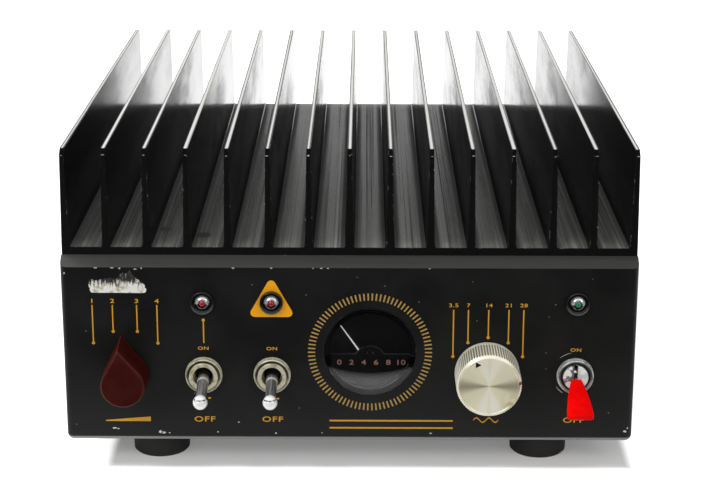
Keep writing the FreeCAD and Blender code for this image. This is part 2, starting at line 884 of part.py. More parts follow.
def power_bushing():
    """Sleeve closed in front by a stepped wall with an upright slot for the flat lever."""
    bore = lever_ball_radius + power_hub_gap
    length = power_bushing_reach + panel_depth + bushing_flange
    flange_start = length - bushing_flange
    edge = power_face_edge
    step = power_face_step
    sleeve = turned((0, 0), (power_face_radius - edge, 0), (power_face_radius, edge),
                    (power_face_radius, step), (bushing_radius - edge, step),
                    (bushing_radius, step + edge), (bushing_radius, flange_start),
                    (bushing_flange_radius, flange_start), (bushing_flange_radius, length),
                    (bore, length), (bore, power_face_wall), (0, power_face_wall))
    sleeve = stand(sleeve, V(power_column, -power_bushing_reach, switch_height), BACK)
    half = blade_thickness / 2 + slot_clearance
    tall = power_slot_height / 2
    slot = block(power_column - half, power_column + half, -power_bushing_reach - past,
                 power_face_wall - power_bushing_reach + past,
                 switch_height - tall, switch_height + tall)
    return drill_for_pin(sleeve.cut(slot), power_column)


def drill_for_pin(shape, column):
    """Cross hole for the pin that a lever tips about."""
    start = pivot_point(column) - RIGHT * bushing_radius
    return bore_through(shape, start, RIGHT, lever_pin_radius + pivot_clearance, 2 * bushing_radius)


def lever_pins():
    """Cross pins that the three levers tip about."""
    length = 2 * (bushing_radius - lever_pin_inset)
    pins = []
    for column in switch_columns():
        start = pivot_point(column) - RIGHT * (length / 2)
        pins.append(rod(start, RIGHT, lever_pin_radius, length))
    return pins


def toggle_body(column):
    """Moulded switch case with three solder lugs."""
    front = panel_depth + bushing_flange
    back = front + toggle_body_depth
    half = toggle_body_width / 2
    tall = toggle_body_height / 2
    z = switch_height
    body = block(column - half, column + half, front, back, z - tall, z + tall)
    long_edges = [e for e in body.Edges if abs(e.Vertexes[0].Point.y - e.Vertexes[1].Point.y) > tiny]
    body = body.makeFillet(toggle_body_edge, long_edges)
    for row in (-1, 0, 1):
        lug = block(column - lug_width / 2, column + lug_width / 2, back, back + lug_length,
                    z + row * lug_pitch - lug_thickness / 2, z + row * lug_pitch + lug_thickness / 2)
        body = body.fuse(lug)
    return body.removeSplitter()


def bat_lever(column):
    """Turned lever: tail, ball with a cross hole, tapering stem and rounded tip."""
    ball = lever_ball_radius
    tip = lever_tip_radius
    neck_start = math.sqrt(ball ** 2 - lever_neck_radius ** 2)
    waist = lever_tip_distance - math.sqrt(tip ** 2 - lever_waist_radius ** 2)
    tail_start = -math.sqrt(ball ** 2 - lever_tail_radius ** 2)
    lever = turned((0, -lever_tail), (lever_tail_radius, -lever_tail), (lever_tail_radius, tail_start),
                   ((ball, 0), (lever_neck_radius, neck_start)), (lever_neck_radius, lever_neck_end),
                   (lever_stem_radius, lever_neck_end + lever_shoulder), (lever_waist_radius, waist),
                   ((tip, lever_tip_distance), (0, lever_tip_distance + tip)))
    tilt = math.radians(lever_tilt)
    direction = V(0, -math.cos(tilt), -math.sin(tilt))
    return drill_for_pin(stand(lever, pivot_point(column), direction), column)


def lever_frame(shape, tilt_degrees):
    """Stands a shape modelled with its length along -Y at the power switch's pivot."""
    shape = shape.copy()
    shape.rotate(V(0, 0, 0), RIGHT, tilt_degrees)
    shape.translate(pivot_point(power_column))
    return shape


def power_lever():
    """Flat steel blade with a round hub on the pin."""
    t = blade_thickness / 2
    hub = rod(V(-t, 0, 0), RIGHT, lever_ball_radius, blade_thickness)
    blade = block(-t, t, -blade_reach, 0, -blade_height / 2, blade_height / 2)
    lever = lever_frame(hub.fuse(blade).removeSplitter(), power_tilt)
    return drill_for_pin(lever, power_column)


def paddle_outline():
    """Front view of the paddle: narrow at the neck, full sides, rounded end corners."""
    neck = paddle_neck_width / 2
    wide = paddle_end_width / 2
    r = paddle_corner
    near = -paddle_start
    far = -paddle_end
    middle = (near + far) / 2
    bow = (neck + wide) / 2 + paddle_bow
    right = (wide - r, far + r)
    left = (-wide + r, far + r)
    steps = [((bow, middle), (wide, far + r)), (ring_arc(right, r, -45), (wide - r, far)),
             (-wide + r, far), (ring_arc(left, r, 225), (-wide, far + r)),
             ((-bow, middle), (-neck, near))]
    return face_from((neck, near), steps, lambda p: V(p[0], p[1], -paddle_neck_thickness))


def power_paddle():
    """Moulded paddle pushed over the blade, flaring in width and thinning towards its end."""
    near = -paddle_start
    far = -paddle_end
    thick = paddle_neck_thickness / 2
    thin = paddle_end_thickness / 2
    side = [(near, thick), (far, thin), (far, -thin)]
    wedge = face_from((near, -thick), side, side_view(-paddle_end_width))
    wedge = wedge.extrude(V(2 * paddle_end_width, 0, 0))
    paddle = paddle_outline().extrude(V(0, 0, 2 * paddle_neck_thickness)).common(wedge)
    rims = [e for e in paddle.Edges if abs(e.CenterOfMass.z) > tiny and e.CenterOfMass.y < near - tiny]
    paddle = paddle.makeFillet(paddle_edge, rims)
    t = blade_thickness / 2 + blade_fit
    tall = blade_height / 2 + blade_fit
    pocket = block(-t, t, -blade_reach - blade_fit, near + past, -tall, tall)
    return lever_frame(paddle.cut(pocket), power_tilt)


def switch_washers():
    bore = bushing_radius + washer_clearance
    washer = turned((bore, 0), (washer_radius, 0), (washer_radius, washer_thickness),
                    (bore, washer_thickness))
    return [stand(washer, V(x, 0, switch_height), -BACK) for x in switch_columns()]


def panel_nuts():
    """Dress nuts of the toggles and hexagon nuts of the rotary switches."""
    bore = bushing_radius + thread_clearance
    edge = dress_nut_edge
    start = washer_thickness
    end = start + dress_nut_thickness
    dress = turned((bore, start), (dress_nut_radius, start), (dress_nut_radius, end - edge),
                   (dress_nut_radius - edge, end), (bore + edge, end), (bore, end - edge))
    nuts = [stand(dress, V(x, 0, switch_height), -BACK) for x in switch_columns()]
    hexagon = hex_nut(rotary_nut_flats, rotary_bushing_radius + thread_clearance,
                      rotary_nut_thickness)
    return nuts + [stand(hexagon, centre, -BACK) for centre in (level_axis(0), band_axis(0))]


# ---------------------------------------------------------------- rotary controls
def level_axis(y):
    return V(level_column, y, level_height)


def band_axis(y):
    return V(band_column, y, band_height)


def knob_recess(centre):
    """Round space inside a knob for the switch's nut and bushing."""
    corner = rotary_nut_flats / math.sqrt(3)
    return rod(centre, -BACK, corner + knob_recess_clearance, knob_recess_end())


def knob_recess_end():
    return rotary_bushing_reach + knob_recess_gap


def pointer_outline(lobe, pointer, y):
    """Teardrop: a round lobe with two tangents that meet at the pointer's tip."""
    swing = math.degrees(math.acos(lobe / pointer))
    first = ring_arc((0, 0), lobe, 90 + swing)
    last = ring_arc((0, 0), lobe, 90 - swing)
    steps = [((0, -lobe), last), (0, pointer)]
    return face_from(first, steps, upright(y)).OuterWire


def level_knob():
    """Moulded pointer knob, drawn in towards its face and edged with a small bevel."""
    face = -level_depth
    base = -knob_gap
    body = Part.makeLoft([pointer_outline(level_lobe_radius, level_pointer, base),
                          pointer_outline(level_lobe_face_radius, level_pointer_face,
                                          face + level_rim)], True, True)
    crown = Part.makeLoft([pointer_outline(level_lobe_face_radius, level_pointer_face,
                                           face + level_rim),
                           pointer_outline(level_lobe_face_radius - level_rim,
                                           level_pointer_face - 2 * level_rim, face)], True, True)
    knob = body.fuse(crown).removeSplitter()
    knob.rotate(V(0, 0, 0), BACK, level_start_angle + level_knob_angle)
    knob.translate(level_axis(0))
    knob = knob.cut(knob_recess(level_axis(0)))
    return knob.cut(rod(level_axis(0), -BACK, shaft_radius + blade_fit, level_depth - knob_cap))


def level_shaft():
    """Switch shaft that the knob is pushed on."""
    front = -(level_depth - knob_cap - shaft_end_gap)
    back = panel_depth + level_body_depth - level_body_back - level_shaft_gap
    return rod(level_axis(front), BACK, shaft_radius, back - front)


def rotary_bushing(axis):
    """Threaded bushing round a shaft, from in front of the panel to the switch's body."""
    bore = shaft_radius + pivot_clearance
    edge = rotary_bushing_edge
    length = rotary_bushing_reach + panel_depth
    sleeve = turned((bore, 0), (rotary_bushing_radius - edge, 0), (rotary_bushing_radius, edge),
                    (rotary_bushing_radius, length), (bore, length))
    return stand(sleeve, axis(-rotary_bushing_reach), BACK)


def level_switch():
    """Closed rotary switch: bushing, round case, ring of lugs."""
    back = panel_depth + level_body_depth
    centre = level_axis(panel_depth)
    body = rod(centre, BACK, level_body_radius, level_body_depth)
    body = drill(body, [(centre, BACK)], shaft_radius + level_shaft_clearance,
                 level_body_depth - level_body_back)
    body = body.fuse(rotary_bushing(level_axis))
    lug_circle = level_body_radius - level_lug_margin
    w = level_lug_width / 2
    for i in range(level_lugs):
        x, z = ring_arc((level_column, level_height), lug_circle, 360 * i / level_lugs)
        body = body.fuse(block(x - w, x + w, back, back + level_lug_length, z - w, z + w))
    return body.removeSplitter()


def band_knob():
    """Turned aluminium knob: knurled side, bright bevelled rim, shallow dish in the face."""
    face = band_knob_depth
    rim = band_knob_rim
    dish = band_knob_dish
    body = turned((0, knob_gap), (band_knob_radius, knob_gap),
                  (band_knob_radius, face - rim - band_knob_shoulder),
                  (band_knob_face_radius, face - rim),
                  (band_knob_face_radius - rim, face), (band_knob_dish_radius, face),
                  (band_knob_dish_radius - dish, face - dish), (0, face - dish))
    points = []
    for i in range(2 * band_knurl_teeth):
        radius = band_knob_radius - (band_knurl_depth if i % 2 else 0)
        points.append(ring_arc((0, 0), radius, 180 * i / band_knurl_teeth))
    points.append(points[0])
    star = Part.Face(Part.makePolygon([V(x, y, knob_gap + band_knob_foot) for x, y in points]))
    star = star.extrude(V(0, 0, face))
    plain = turned((0, 0), (band_knob_radius, 0), (band_knob_radius, knob_gap + band_knob_foot),
                   (0, knob_gap + band_knob_foot))
    body = body.common(star.fuse(plain))
    body = stand(body, band_axis(0), -BACK)
    body = body.cut(knob_recess(band_axis(0)))
    body = body.cut(rod(band_axis(0), -BACK, shaft_radius + blade_fit, band_knob_depth - knob_cap))
    return drill(body, [set_screw_start()], set_screw_radius + thread_clearance,
                 band_knob_radius - shaft_radius)


def set_screw_start():
    """Set screw from below, half way between the recess and the face."""
    y = -(knob_recess_end() + band_knob_depth - knob_cap) / 2
    return (band_axis(y) - UP * band_knob_radius, UP)


def band_set_screw():
    position, direction = set_screw_start()
    start = position + direction * (band_knob_radius - shaft_radius - set_screw_length)
    screw = rod(start, direction, set_screw_radius, set_screw_length)
    half = set_screw_slot / 2
    slot = block(start.x - set_screw_radius, start.x + set_screw_radius,
                 start.y - half, start.y + half, start.z, start.z + set_screw_slot_depth)
    return screw.cut(slot)


def wafer_rows():
    return [wafer_first + i * wafer_pitch for i in range(wafer_count)]


def rear_bearing():
    return wafer_rows()[-1] + wafer_pitch / 2


def band_shaft():
    """Long shaft through the detent and all wafers."""
    front = -(band_knob_depth - knob_cap - shaft_end_gap)
    back = rear_bearing() + bearing_plate
    return rod(band_axis(front), BACK, shaft_radius, back - front)


def band_rotors():
    """Insulating rotors on the shaft, one in each wafer."""
    rotor = turned((shaft_radius + insulator_fit, 0), (rotor_radius, 0), (rotor_radius, wafer_thickness),
                   (shaft_radius + insulator_fit, wafer_thickness))
    rotors = []
    for y in wafer_rows():
        tab = block(-rotor_tab_width / 2, rotor_tab_width / 2, rotor_tab_start,
                    rotor_radius - rotor_tab_margin, -rotor_tab_proud, wafer_thickness + rotor_tab_proud)
        rotors.append(stand(rotor.fuse(tab), band_axis(y), BACK))
    return rotors


def tie_rod_columns():
    return [band_column + side * tie_rod_spread for side in (-1, 1)]


def band_switch_frame():
    """Bearing plates in front and behind, detent housing, bushing and two tie rods."""
    half = bearing_plate_width / 2
    tall = bearing_plate_height / 2
    bore = shaft_radius + pivot_clearance
    rear = rear_bearing()
    z = band_height
    frame = rotary_bushing(band_axis)
    for y in (panel_depth, rear):
        plate = block(band_column - half, band_column + half, y, y + bearing_plate, z - tall, z + tall)
        frame = frame.fuse(plate)
    centre = band_axis(panel_depth)
    length = rear + bearing_plate - panel_depth
    frame = frame.fuse(rod(centre, BACK, detent_radius, bearing_plate + detent_depth))
    for x in tie_rod_columns():
        frame = frame.fuse(rod(V(x, panel_depth, z), BACK, tie_rod_radius, length + tie_rod_end))
    return bore_through(frame, centre, BACK, bore, length).removeSplitter()


def band_switch_wafers():
    """Fixed wafer rings with contact clips round the edge."""
    wafers = []
    inner = rotor_radius + rotor_gap
    w = wafer_contact_width / 2
    for y in wafer_rows():
        centre = band_axis(y)
        ring = bore_through(rod(centre, BACK, wafer_radius, wafer_thickness), centre, BACK, inner,
                            wafer_thickness)
        for x in tie_rod_columns():
            ring = bore_through(ring, V(x, y, band_height), BACK, tie_rod_radius + insulator_fit,
                                wafer_thickness)
        for i in range(wafer_contacts):
            degrees = 360 * (i + 0.5) / wafer_contacts
            x, z = ring_arc((band_column, band_height), wafer_radius, degrees)
            ring = ring.fuse(block(x - w, x + w, y - wafer_contact_proud,
                                   y + wafer_thickness + wafer_contact_proud, z - w, z + w))
        wafers.append(ring.removeSplitter())
    return wafers


# ---------------------------------------------------------------- lamps
def lamp_bezels():
    """Snap-in bezels: a thin collar, a groove inside it and a bright dome round the lamp."""
    bore = led_radius + led_clearance
    back = -lamp_barrel_depth
    inside = lamp_rim_radius - lamp_rim_wall
    fullness = ((lamp_groove_radius + lamp_dome_radius) / 2 + lamp_dome_bulge,
                (lamp_groove + lamp_dome_reach) / 2 + lamp_dome_bulge)
    bezel = turned((bore, back), (lamp_barrel_radius, back), (lamp_barrel_radius, 0),
                   (lamp_rim_radius, 0), (lamp_rim_radius, lamp_rim - lamp_rim_edge),
                   (lamp_rim_radius - lamp_rim_edge, lamp_rim), (inside, lamp_rim),
                   (inside, lamp_groove), (lamp_groove_radius, lamp_groove),
                   (fullness, (lamp_dome_radius, lamp_dome_reach)), (bore, lamp_dome_reach))
    return [stand(bezel, V(x, 0, lamp_height), -BACK) for x in switch_columns()]


def led(column):
    """Round-ended lamp in its bezel."""
    start = led_reach - led_radius
    corner = led_radius * math.cos(math.radians(45))
    body = turned((0, -lamp_barrel_depth), (led_radius, -lamp_barrel_depth), (led_radius, start),
                  ((corner, start + corner), (0, led_reach)))
    return stand(body, V(column, 0, lamp_height), -BACK)


# ---------------------------------------------------------------- meter
def meter_axis(y):
    return V(meter_column, y, meter_height)


def staff_point(y):
    return V(meter_column, y, meter_height - pivot_drop)


def dome(radius, edge, reach):
    """Middle point and top of a shallow dome's arc, from (radius, edge) to (0, reach)."""
    rise = reach - edge
    sphere = (radius ** 2 + rise ** 2) / (2 * rise)
    half = radius / 2
    return ((half, reach - sphere + math.sqrt(sphere ** 2 - half ** 2)), (0, reach))


def meter_lens():
    """Clear domed lens with a flange that bears on the back of the plate."""
    inside = lens_radius - lens_wall
    back = -panel_depth
    lens = turned((inside, back - lens_flange), (lens_flange_radius, back - lens_flange),
                  (lens_flange_radius, back), (lens_radius, back), (lens_radius, lens_side_reach),
                  dome(lens_radius, lens_side_reach, lens_dome_reach), (0, lens_dome_reach - lens_wall),
                  (dome(inside, lens_side_reach - lens_wall / 2, lens_dome_reach - lens_wall)[0],
                   (inside, lens_side_reach - lens_wall / 2)))
    return stand(lens, meter_axis(0), -BACK)


def meter_mask():
    """Lower half of the dial's front, with an arch over the staff, on a spacer ring."""
    front = panel_depth + lens_flange
    outer = lens_flange_radius
    depth = dial_depth - front
    ring = bore_through(rod(meter_axis(front), BACK, outer, depth), meter_axis(front), BACK,
                        outer - mask_rim, depth)
    disc = rod(meter_axis(front), BACK, outer, mask_thickness)
    upper = block(meter_column - outer - past, meter_column + outer + past, front - past,
                  front + mask_thickness + past, meter_height + mask_edge, meter_height + outer + past)
    arch_middle = V(meter_column, front, meter_height + mask_arch - mask_arch_radius)
    arch = rod(arch_middle, BACK, mask_arch_radius, mask_thickness)
    boss = rod(staff_point(front), BACK, jewel_boss_radius, mask_thickness + jewel_boss)
    mask = disc.cut(upper).fuse([arch, ring, boss]).removeSplitter()
    return mask.cut(rod(staff_point(front + mask_bearing), BACK, staff_radius + pivot_clearance,
                        mask_thickness + jewel_boss))


def meter_dial():
    """Dial plate on the ledge of the housing, with a hole for the staff."""
    disc = rod(meter_axis(dial_depth), BACK, lens_flange_radius, dial_thickness)
    return bore_through(disc, staff_point(dial_depth), BACK, dial_hole_radius, dial_thickness)


def meter_housing():
    """Moulded cup with a ledge for the dial, a rear bearing and two ears."""
    outer = meter_cup_radius
    bore = outer - meter_cup_wall
    ledge = dial_depth + dial_thickness
    floor = meter_cup_back - meter_cup_floor
    cup = rod(meter_axis(panel_depth), BACK, outer, meter_cup_back - panel_depth)
    cup = drill(cup, [(meter_axis(panel_depth), BACK)], bore, ledge - panel_depth)
    cup = cup.cut(rod(meter_axis(ledge), BACK, bore - meter_ledge, floor - ledge))
    reach = outer + meter_ear_reach
    bar = block(meter_column - meter_ear_half_width, meter_column + meter_ear_half_width, panel_depth,
                panel_depth + meter_ear_thickness, meter_height - reach, meter_height + reach)
    middle = outer - meter_cup_wall / 2
    bar = bore_through(bar, meter_axis(panel_depth), BACK, middle, meter_ear_thickness)
    cup = cup.fuse(bar).removeSplitter()
    cup = drill(cup, meter_screw_places(), screw_radius + screw_clearance, meter_ear_thickness)
    return drill(cup, [(staff_point(floor), BACK)], staff_radius + pivot_clearance,
                 meter_cup_floor - staff_hole_end)


def meter_movement():
    """Iron yoke ring and core, joined by two bars clear of the coil, on a rear post ring."""
    depth = yoke_back - yoke_front
    length = meter_cup_back - meter_cup_floor - yoke_front
    centre = staff_point(yoke_front)
    ring = bore_through(rod(centre, BACK, yoke_radius, length), centre, BACK, yoke_bore, length)
    core = rod(centre, BACK, core_radius, depth)
    reach = yoke_bore + yoke_bar_overlap
    bar = block(centre.x - yoke_bar / 2, centre.x + yoke_bar / 2, yoke_front, yoke_back,
                centre.z - reach, centre.z + reach)
    body = ring.fuse([core, bar]).removeSplitter()
    return bore_through(body, centre, BACK, core_bore, depth)


def meter_coil():
    """Rectangular moving coil round the core, crossed by the staff."""
    front = yoke_front - coil_gap
    back = yoke_back + coil_gap
    t = coil_thickness / 2
    inner = coil_half_width - coil_bar
    outer = block(-coil_half_width, coil_half_width, front - coil_bar, back + coil_bar, -t, t)
    window = block(-inner, inner, front, back, -t - past, t + past)
    staff_front = panel_depth + lens_flange + mask_bearing + staff_end_gap
    staff_back = meter_cup_back - meter_cup_floor + staff_rear_grip
    staff = rod(V(0, staff_front, 0), BACK, staff_radius, staff_back - staff_front)
    coil = outer.cut(window).fuse(staff).removeSplitter()
    coil.rotate(V(0, 0, 0), BACK, needle_rest_angle)
    coil.translate(staff_point(0))
    return coil


def meter_needle():
    """Tapered pointer with a tail, on a hub round the staff."""
    w = needle_width / 2
    tip = needle_tip_width / 2
    tail = needle_tail_width / 2
    points = [(tip, needle_length), (w, 0), (tail, -needle_tail), (-tail, -needle_tail), (-w, 0)]
    blade = face_from((-tip, needle_length), points, upright(needle_depth))
    blade = blade.extrude(V(0, needle_thickness, 0))
    start = V(0, needle_depth - needle_hub_proud, 0)
    length = needle_thickness + 2 * needle_hub_proud
    hub = rod(start, BACK, needle_hub_radius, length)
    needle = bore_through(blade.fuse(hub).removeSplitter(), start, BACK, staff_radius, length)
    needle.rotate(V(0, 0, 0), BACK, needle_rest_angle)
    needle.translate(staff_point(0))
    return needle


# ---------------------------------------------------------------- rear connectors
def socket_screw_places():
    offset = socket_screw_offset
    face = rear_face + socket_flange_thickness
    return [(V(x + a * offset, face, socket_height + b * offset), -BACK)
            for x in socket_columns for a in (-1, 1) for b in (-1, 1)]


def rf_socket(column):
    """Square flange, threaded barrel in front of it and a neck through the panel."""
    half = socket_flange / 2
    flange = block(-half, half, -half, half, 0, socket_flange_thickness)
    corners = [e for e in flange.Edges if e.Length < socket_flange_thickness + tiny]
    flange = flange.makeFillet(socket_flange_round, corners)
    top = socket_flange_thickness + socket_barrel
    edge = socket_edge
    barrel = turned((0, -socket_neck), (socket_neck_radius, -socket_neck), (socket_neck_radius, 0),
                    (socket_barrel_radius, 0), (socket_barrel_radius, top - edge),
                    (socket_barrel_radius - edge, top), (0, top))
    shell = flange.fuse(barrel).removeSplitter()
    shell = bore_through(shell, V(0, 0, -socket_neck), UP, socket_bore, socket_neck + top)
    shell = stand(shell, V(column, rear_face, socket_height), BACK)
    return drill(shell, socket_screw_places(), screw_radius + screw_clearance,
                 socket_flange_thickness)


def socket_insulator():
    """Plastic core of an RF socket, short of the barrel's mouth."""
    top = socket_flange_thickness + socket_barrel - socket_cavity
    outer = socket_bore - insulator_fit
    return turned((contact_radius + insulator_fit, -socket_neck), (outer, -socket_neck),
                  (outer, top), (contact_radius + insulator_fit, top))


def socket_contact():
    """Tubular centre contact with a solder tail."""
    top = socket_flange_thickness + socket_barrel - socket_cavity + socket_contact_proud
    tail = -socket_neck - contact_tail
    floor = top - contact_bore_depth
    return turned((0, tail), (contact_tail_radius, tail), (contact_tail_radius, -socket_neck),
                  (contact_radius, -socket_neck), (contact_radius, top), (contact_bore, top),
                  (contact_bore, floor), (0, floor))


def phono_jack():
    """Plated outer contact with a collar and a neck through the panel."""
    inside = phono_radius - phono_wall
    neck_inside = phono_neck_radius - phono_neck_wall
    return turned((neck_inside, -phono_neck), (phono_neck_radius, -phono_neck),
                  (phono_neck_radius, 0), (phono_flange_radius, 0),
                  (phono_flange_radius, phono_flange), (phono_radius, phono_flange),
                  (phono_radius, phono_reach), (inside, phono_reach), (inside, phono_flange),
                  (neck_inside, phono_flange))


def phono_insulator():
    outer = phono_neck_radius - phono_neck_wall - insulator_fit
    wide = phono_radius - phono_wall - insulator_fit
    bore = phono_contact_radius + insulator_fit
    step = phono_flange
    top = phono_reach - phono_contact_recess
    return turned((bore, -phono_neck), (outer, -phono_neck), (outer, step), (wide, step),
                  (wide, top), (bore, top))


def phono_contact():
    tail = -phono_neck - phono_contact_tail
    top = phono_reach - phono_contact_recess
    return turned((0, tail), (phono_contact_radius, tail), (phono_contact_radius, top),
                  (phono_contact_bore, top), (phono_contact_bore, 0), (0, 0))


def on_rear(shape, columns, height):
    return [stand(shape, V(x, rear_face, height), BACK) for x in columns]


def jack_insulators():
    return (on_rear(socket_insulator(), socket_columns, socket_height)
            + on_rear(phono_insulator(), phono_columns, phono_height))


def socket_contacts():
    return (on_rear(socket_contact(), socket_columns, socket_height)
            + on_rear(phono_contact(), phono_columns, phono_height))


def socket_screws():
    return m3_screws(socket_screw_places(), socket_screw_length)


def threaded_stud(radius, reach, tail):
    """Stud with a chamfered end, its tail behind Z = 0."""
    edge = radius * stud_chamfer
    return turned((0, -tail), (radius, -tail), (radius, reach - edge), (radius - edge, reach),
                  (0, reach))


def terminal_studs():
    """Two power studs and the ground stud."""
    return (on_rear(threaded_stud(stud_radius, stud_reach, stud_tail), stud_columns, stud_height)
            + on_rear(threaded_stud(ground_radius, ground_reach, ground_tail), [ground_column],
                      ground_height))


def terminal_insulators():
    """Shouldered bush outside the panel and a washer inside it, on each power stud."""
    bore = stud_radius + insulator_fit
    edge = stud_insulator_edge
    bush = turned((bore, -chassis_sheet), (stud_sleeve_radius, -chassis_sheet),
                  (stud_sleeve_radius, 0), (stud_insulator_radius, 0),
                  (stud_insulator_radius, stud_insulator - edge),
                  (stud_insulator_radius - edge, stud_insulator), (bore, stud_insulator))
    washer = turned((bore, -chassis_sheet - stud_inner_insulator),
                    (stud_insulator_radius, -chassis_sheet - stud_inner_insulator),
                    (stud_insulator_radius, -chassis_sheet), (bore, -chassis_sheet))
    return on_rear(bush, stud_columns, stud_height) + on_rear(washer, stud_columns, stud_height)


def wing_nut():
    """Hub with two raised wings."""
    hub = rod(V(0, 0, 0), UP, wing_hub_radius, wing_hub)
    t = wing_thickness / 2
    top = wing_hub + wing_rise
    inner = wing_hub_radius - wing_root
    profile = [(wing_span, top), (wing_span - wing_tip, top), (inner, wing_hub), (-inner, wing_hub),
               (-wing_span + wing_tip, top), (-wing_span, top), (-inner, wing_root)]
    wings = face_from((inner, wing_root), profile, upright(-t)).extrude(V(0, 2 * t, 0))
    nut = hub.fuse(wings).removeSplitter()
    return bore_through(nut, V(0, 0, 0), UP, ground_radius + thread_clearance, top)


def terminal_nuts():
    """Nuts of the power studs, inside and out, and of the ground stud."""
    nut = hex_nut(stud_nut_flats, stud_radius + thread_clearance, stud_nut)
    nuts = []
    outer = rear_face + stud_insulator
    inner = rear_face - chassis_sheet - stud_inner_insulator - stud_nut
    for x in stud_columns:
        for y in (inner, outer, outer + stud_nut + stud_lug_gap):
            nuts.append(stand(nut, V(x, y, stud_height), BACK))
    small = hex_nut(ground_nut_flats, ground_radius + thread_clearance, ground_nut)
    for y in (rear_face - chassis_sheet - ground_nut, rear_face):
        nuts.append(stand(small, V(ground_column, y, ground_height), BACK))
    wing_start = rear_face + ground_nut + wing_gap
    nuts.append(stand(wing_nut(), V(ground_column, wing_start, ground_height), BACK))
    return nuts


# ---------------------------------------------------------------- boards and their parts
def corner_places(left, right, front, back):
    xs = (left + spacer_inset, right - spacer_inset)
    ys = (front + spacer_inset, back - spacer_inset)
    return [(x, y) for x in xs for y in ys]


def pa_spacer_places():
    return corner_places(pa_left, pa_right, pa_front, pa_back)


def filter_spacer_places():
    return corner_places(filter_left, filter_right, filter_front, filter_back)


def control_spacer_places():
    return [(x, z) for x in control_spacer_columns for z in control_spacer_rows]


def pa_board():
    """Amplifier board with round openings for the transistors."""
    board = block(pa_left, pa_right, pa_front, pa_back, pa_bottom, pa_top)
    for x, y in transistor_places():
        board = bore_through(board, V(x, y, pa_bottom), UP, transistor_hole, board_thickness)
    screw_path = screw_head_radius + transistor_screw_path
    for position, direction in transistor_screw_places():
        start = V(position.x, position.y, pa_bottom)
        board = bore_through(board, start, direction, screw_path, board_thickness)
    return board


def filter_board():
    return block(filter_left, filter_right, filter_front, filter_back,
                 filter_top - board_thickness, filter_top)


def control_board():
    """Board behind the switches, with its flat packages on the back."""
    board = block(control_left, control_right, control_depth, control_depth + board_thickness,
                  control_bottom, control_top)
    back = control_depth + board_thickness
    width, depth, height = chip_size
    for x in chip_columns:
        for z in chip_rows:
            board = board.fuse(block(x - width / 2, x + width / 2, back, back + depth,
                                     z - height / 2, z + height / 2))
    return board.removeSplitter()


def spacer(length, stud):
    """Round spacer from a board at Z = 0, with a threaded stud on its far end."""
    return turned((0, 0), (spacer_radius, 0), (spacer_radius, length), (screw_radius, length),
                  (screw_radius, length + stud), (0, length + stud))


def board_spacers():
    """Spacers from the heat sink and from the front chassis to the three boards."""
    pa = spacer(sink_base_bottom - pa_top, spacer_stud)
    filters = spacer(sink_base_bottom - filter_top, spacer_stud)
    control = spacer(control_depth - panel_depth, control_spacer_stud)
    spacers = [stand(pa, V(x, y, pa_top), UP) for x, y in pa_spacer_places()]
    spacers += [stand(filters, V(x, y, filter_top), UP) for x, y in filter_spacer_places()]
    return spacers + [stand(control, V(x, control_depth, z), -BACK)
                      for x, z in control_spacer_places()]


def rf_transistors():
    """Flanged power transistors bolted to the heat sink, leads on the board."""
    parts = []
    for x, y in transistor_places():
        length = transistor_flange_length / 2
        width = transistor_flange_width / 2
        flange = block(x - length, x + length, y - width, y + width,
                       sink_base_bottom - transistor_flange, sink_base_bottom)
        cap = rod(V(x, y, pa_top - transistor_cap), UP, transistor_radius,
                  sink_base_bottom - transistor_flange - pa_top + transistor_cap)
        leads = block(x - lead_width / 2, x + lead_width / 2, y - lead_span / 2, y + lead_span / 2,
                      pa_top, pa_top + lead_thickness)
        parts.append(flange.fuse([cap, leads]).removeSplitter())
    return [drill(part, transistor_screw_places(), screw_radius + screw_clearance,
                  transistor_flange) for part in parts]


def transformer(radius, bore, length, row):
    """Two ferrite sleeves side by side under the board, on brass tubes between end plates."""
    height = pa_bottom - radius
    left = transformer_column - length / 2
    pieces = []
    for side in (-1, 1):
        start = V(left, row + side * radius, height)
        pieces.append(bore_through(rod(start, RIGHT, radius, length), start, RIGHT, bore, length))
        start = start - RIGHT * end_plate
        whole = length + 2 * end_plate
        tube = rod(start, RIGHT, bore - tube_fit, whole)
        pieces.append(bore_through(tube, start, RIGHT, bore - tube_fit - tube_wall, whole))
    for x in (left - end_plate, left + length):
        plate = block(x, x + end_plate, row - 2 * radius, row + 2 * radius, height - radius, pa_bottom)
        for side in (-1, 1):
            plate = bore_through(plate, V(x, row + side * radius, height), RIGHT, bore, end_plate)
        pieces.append(plate)
    return pieces


def input_transformer():
    return transformer(input_core_radius, input_core_bore, input_core_length, pa_front + input_row)


def output_transformer():
    return transformer(output_core_radius, output_core_bore, output_core_length,
                       pa_front + output_row)


def filter_coils():
    """Toroid coils standing on the filter board."""
    edge = coil_edge
    h = coil_width / 2
    coil = turned((coil_bore, -h), (coil_radius - edge, -h), (coil_radius, -h + edge),
                  (coil_radius, h - edge), (coil_radius - edge, h), (coil_bore, h))
    return [stand(coil, V(x, filter_front + row, filter_top + coil_radius), RIGHT)
            for x in filter_columns for row in coil_rows]


def capacitor_places():
    """Middles of the electrolytic cans under the amplifier board."""
    left = pa_left + electrolytic_left_inset
    right = pa_right - electrolytic_right_inset
    places = [(left, pa_front + row) for row in electrolytic_left_rows]
    return places + [(right, pa_front + row) for row in electrolytic_right_rows]


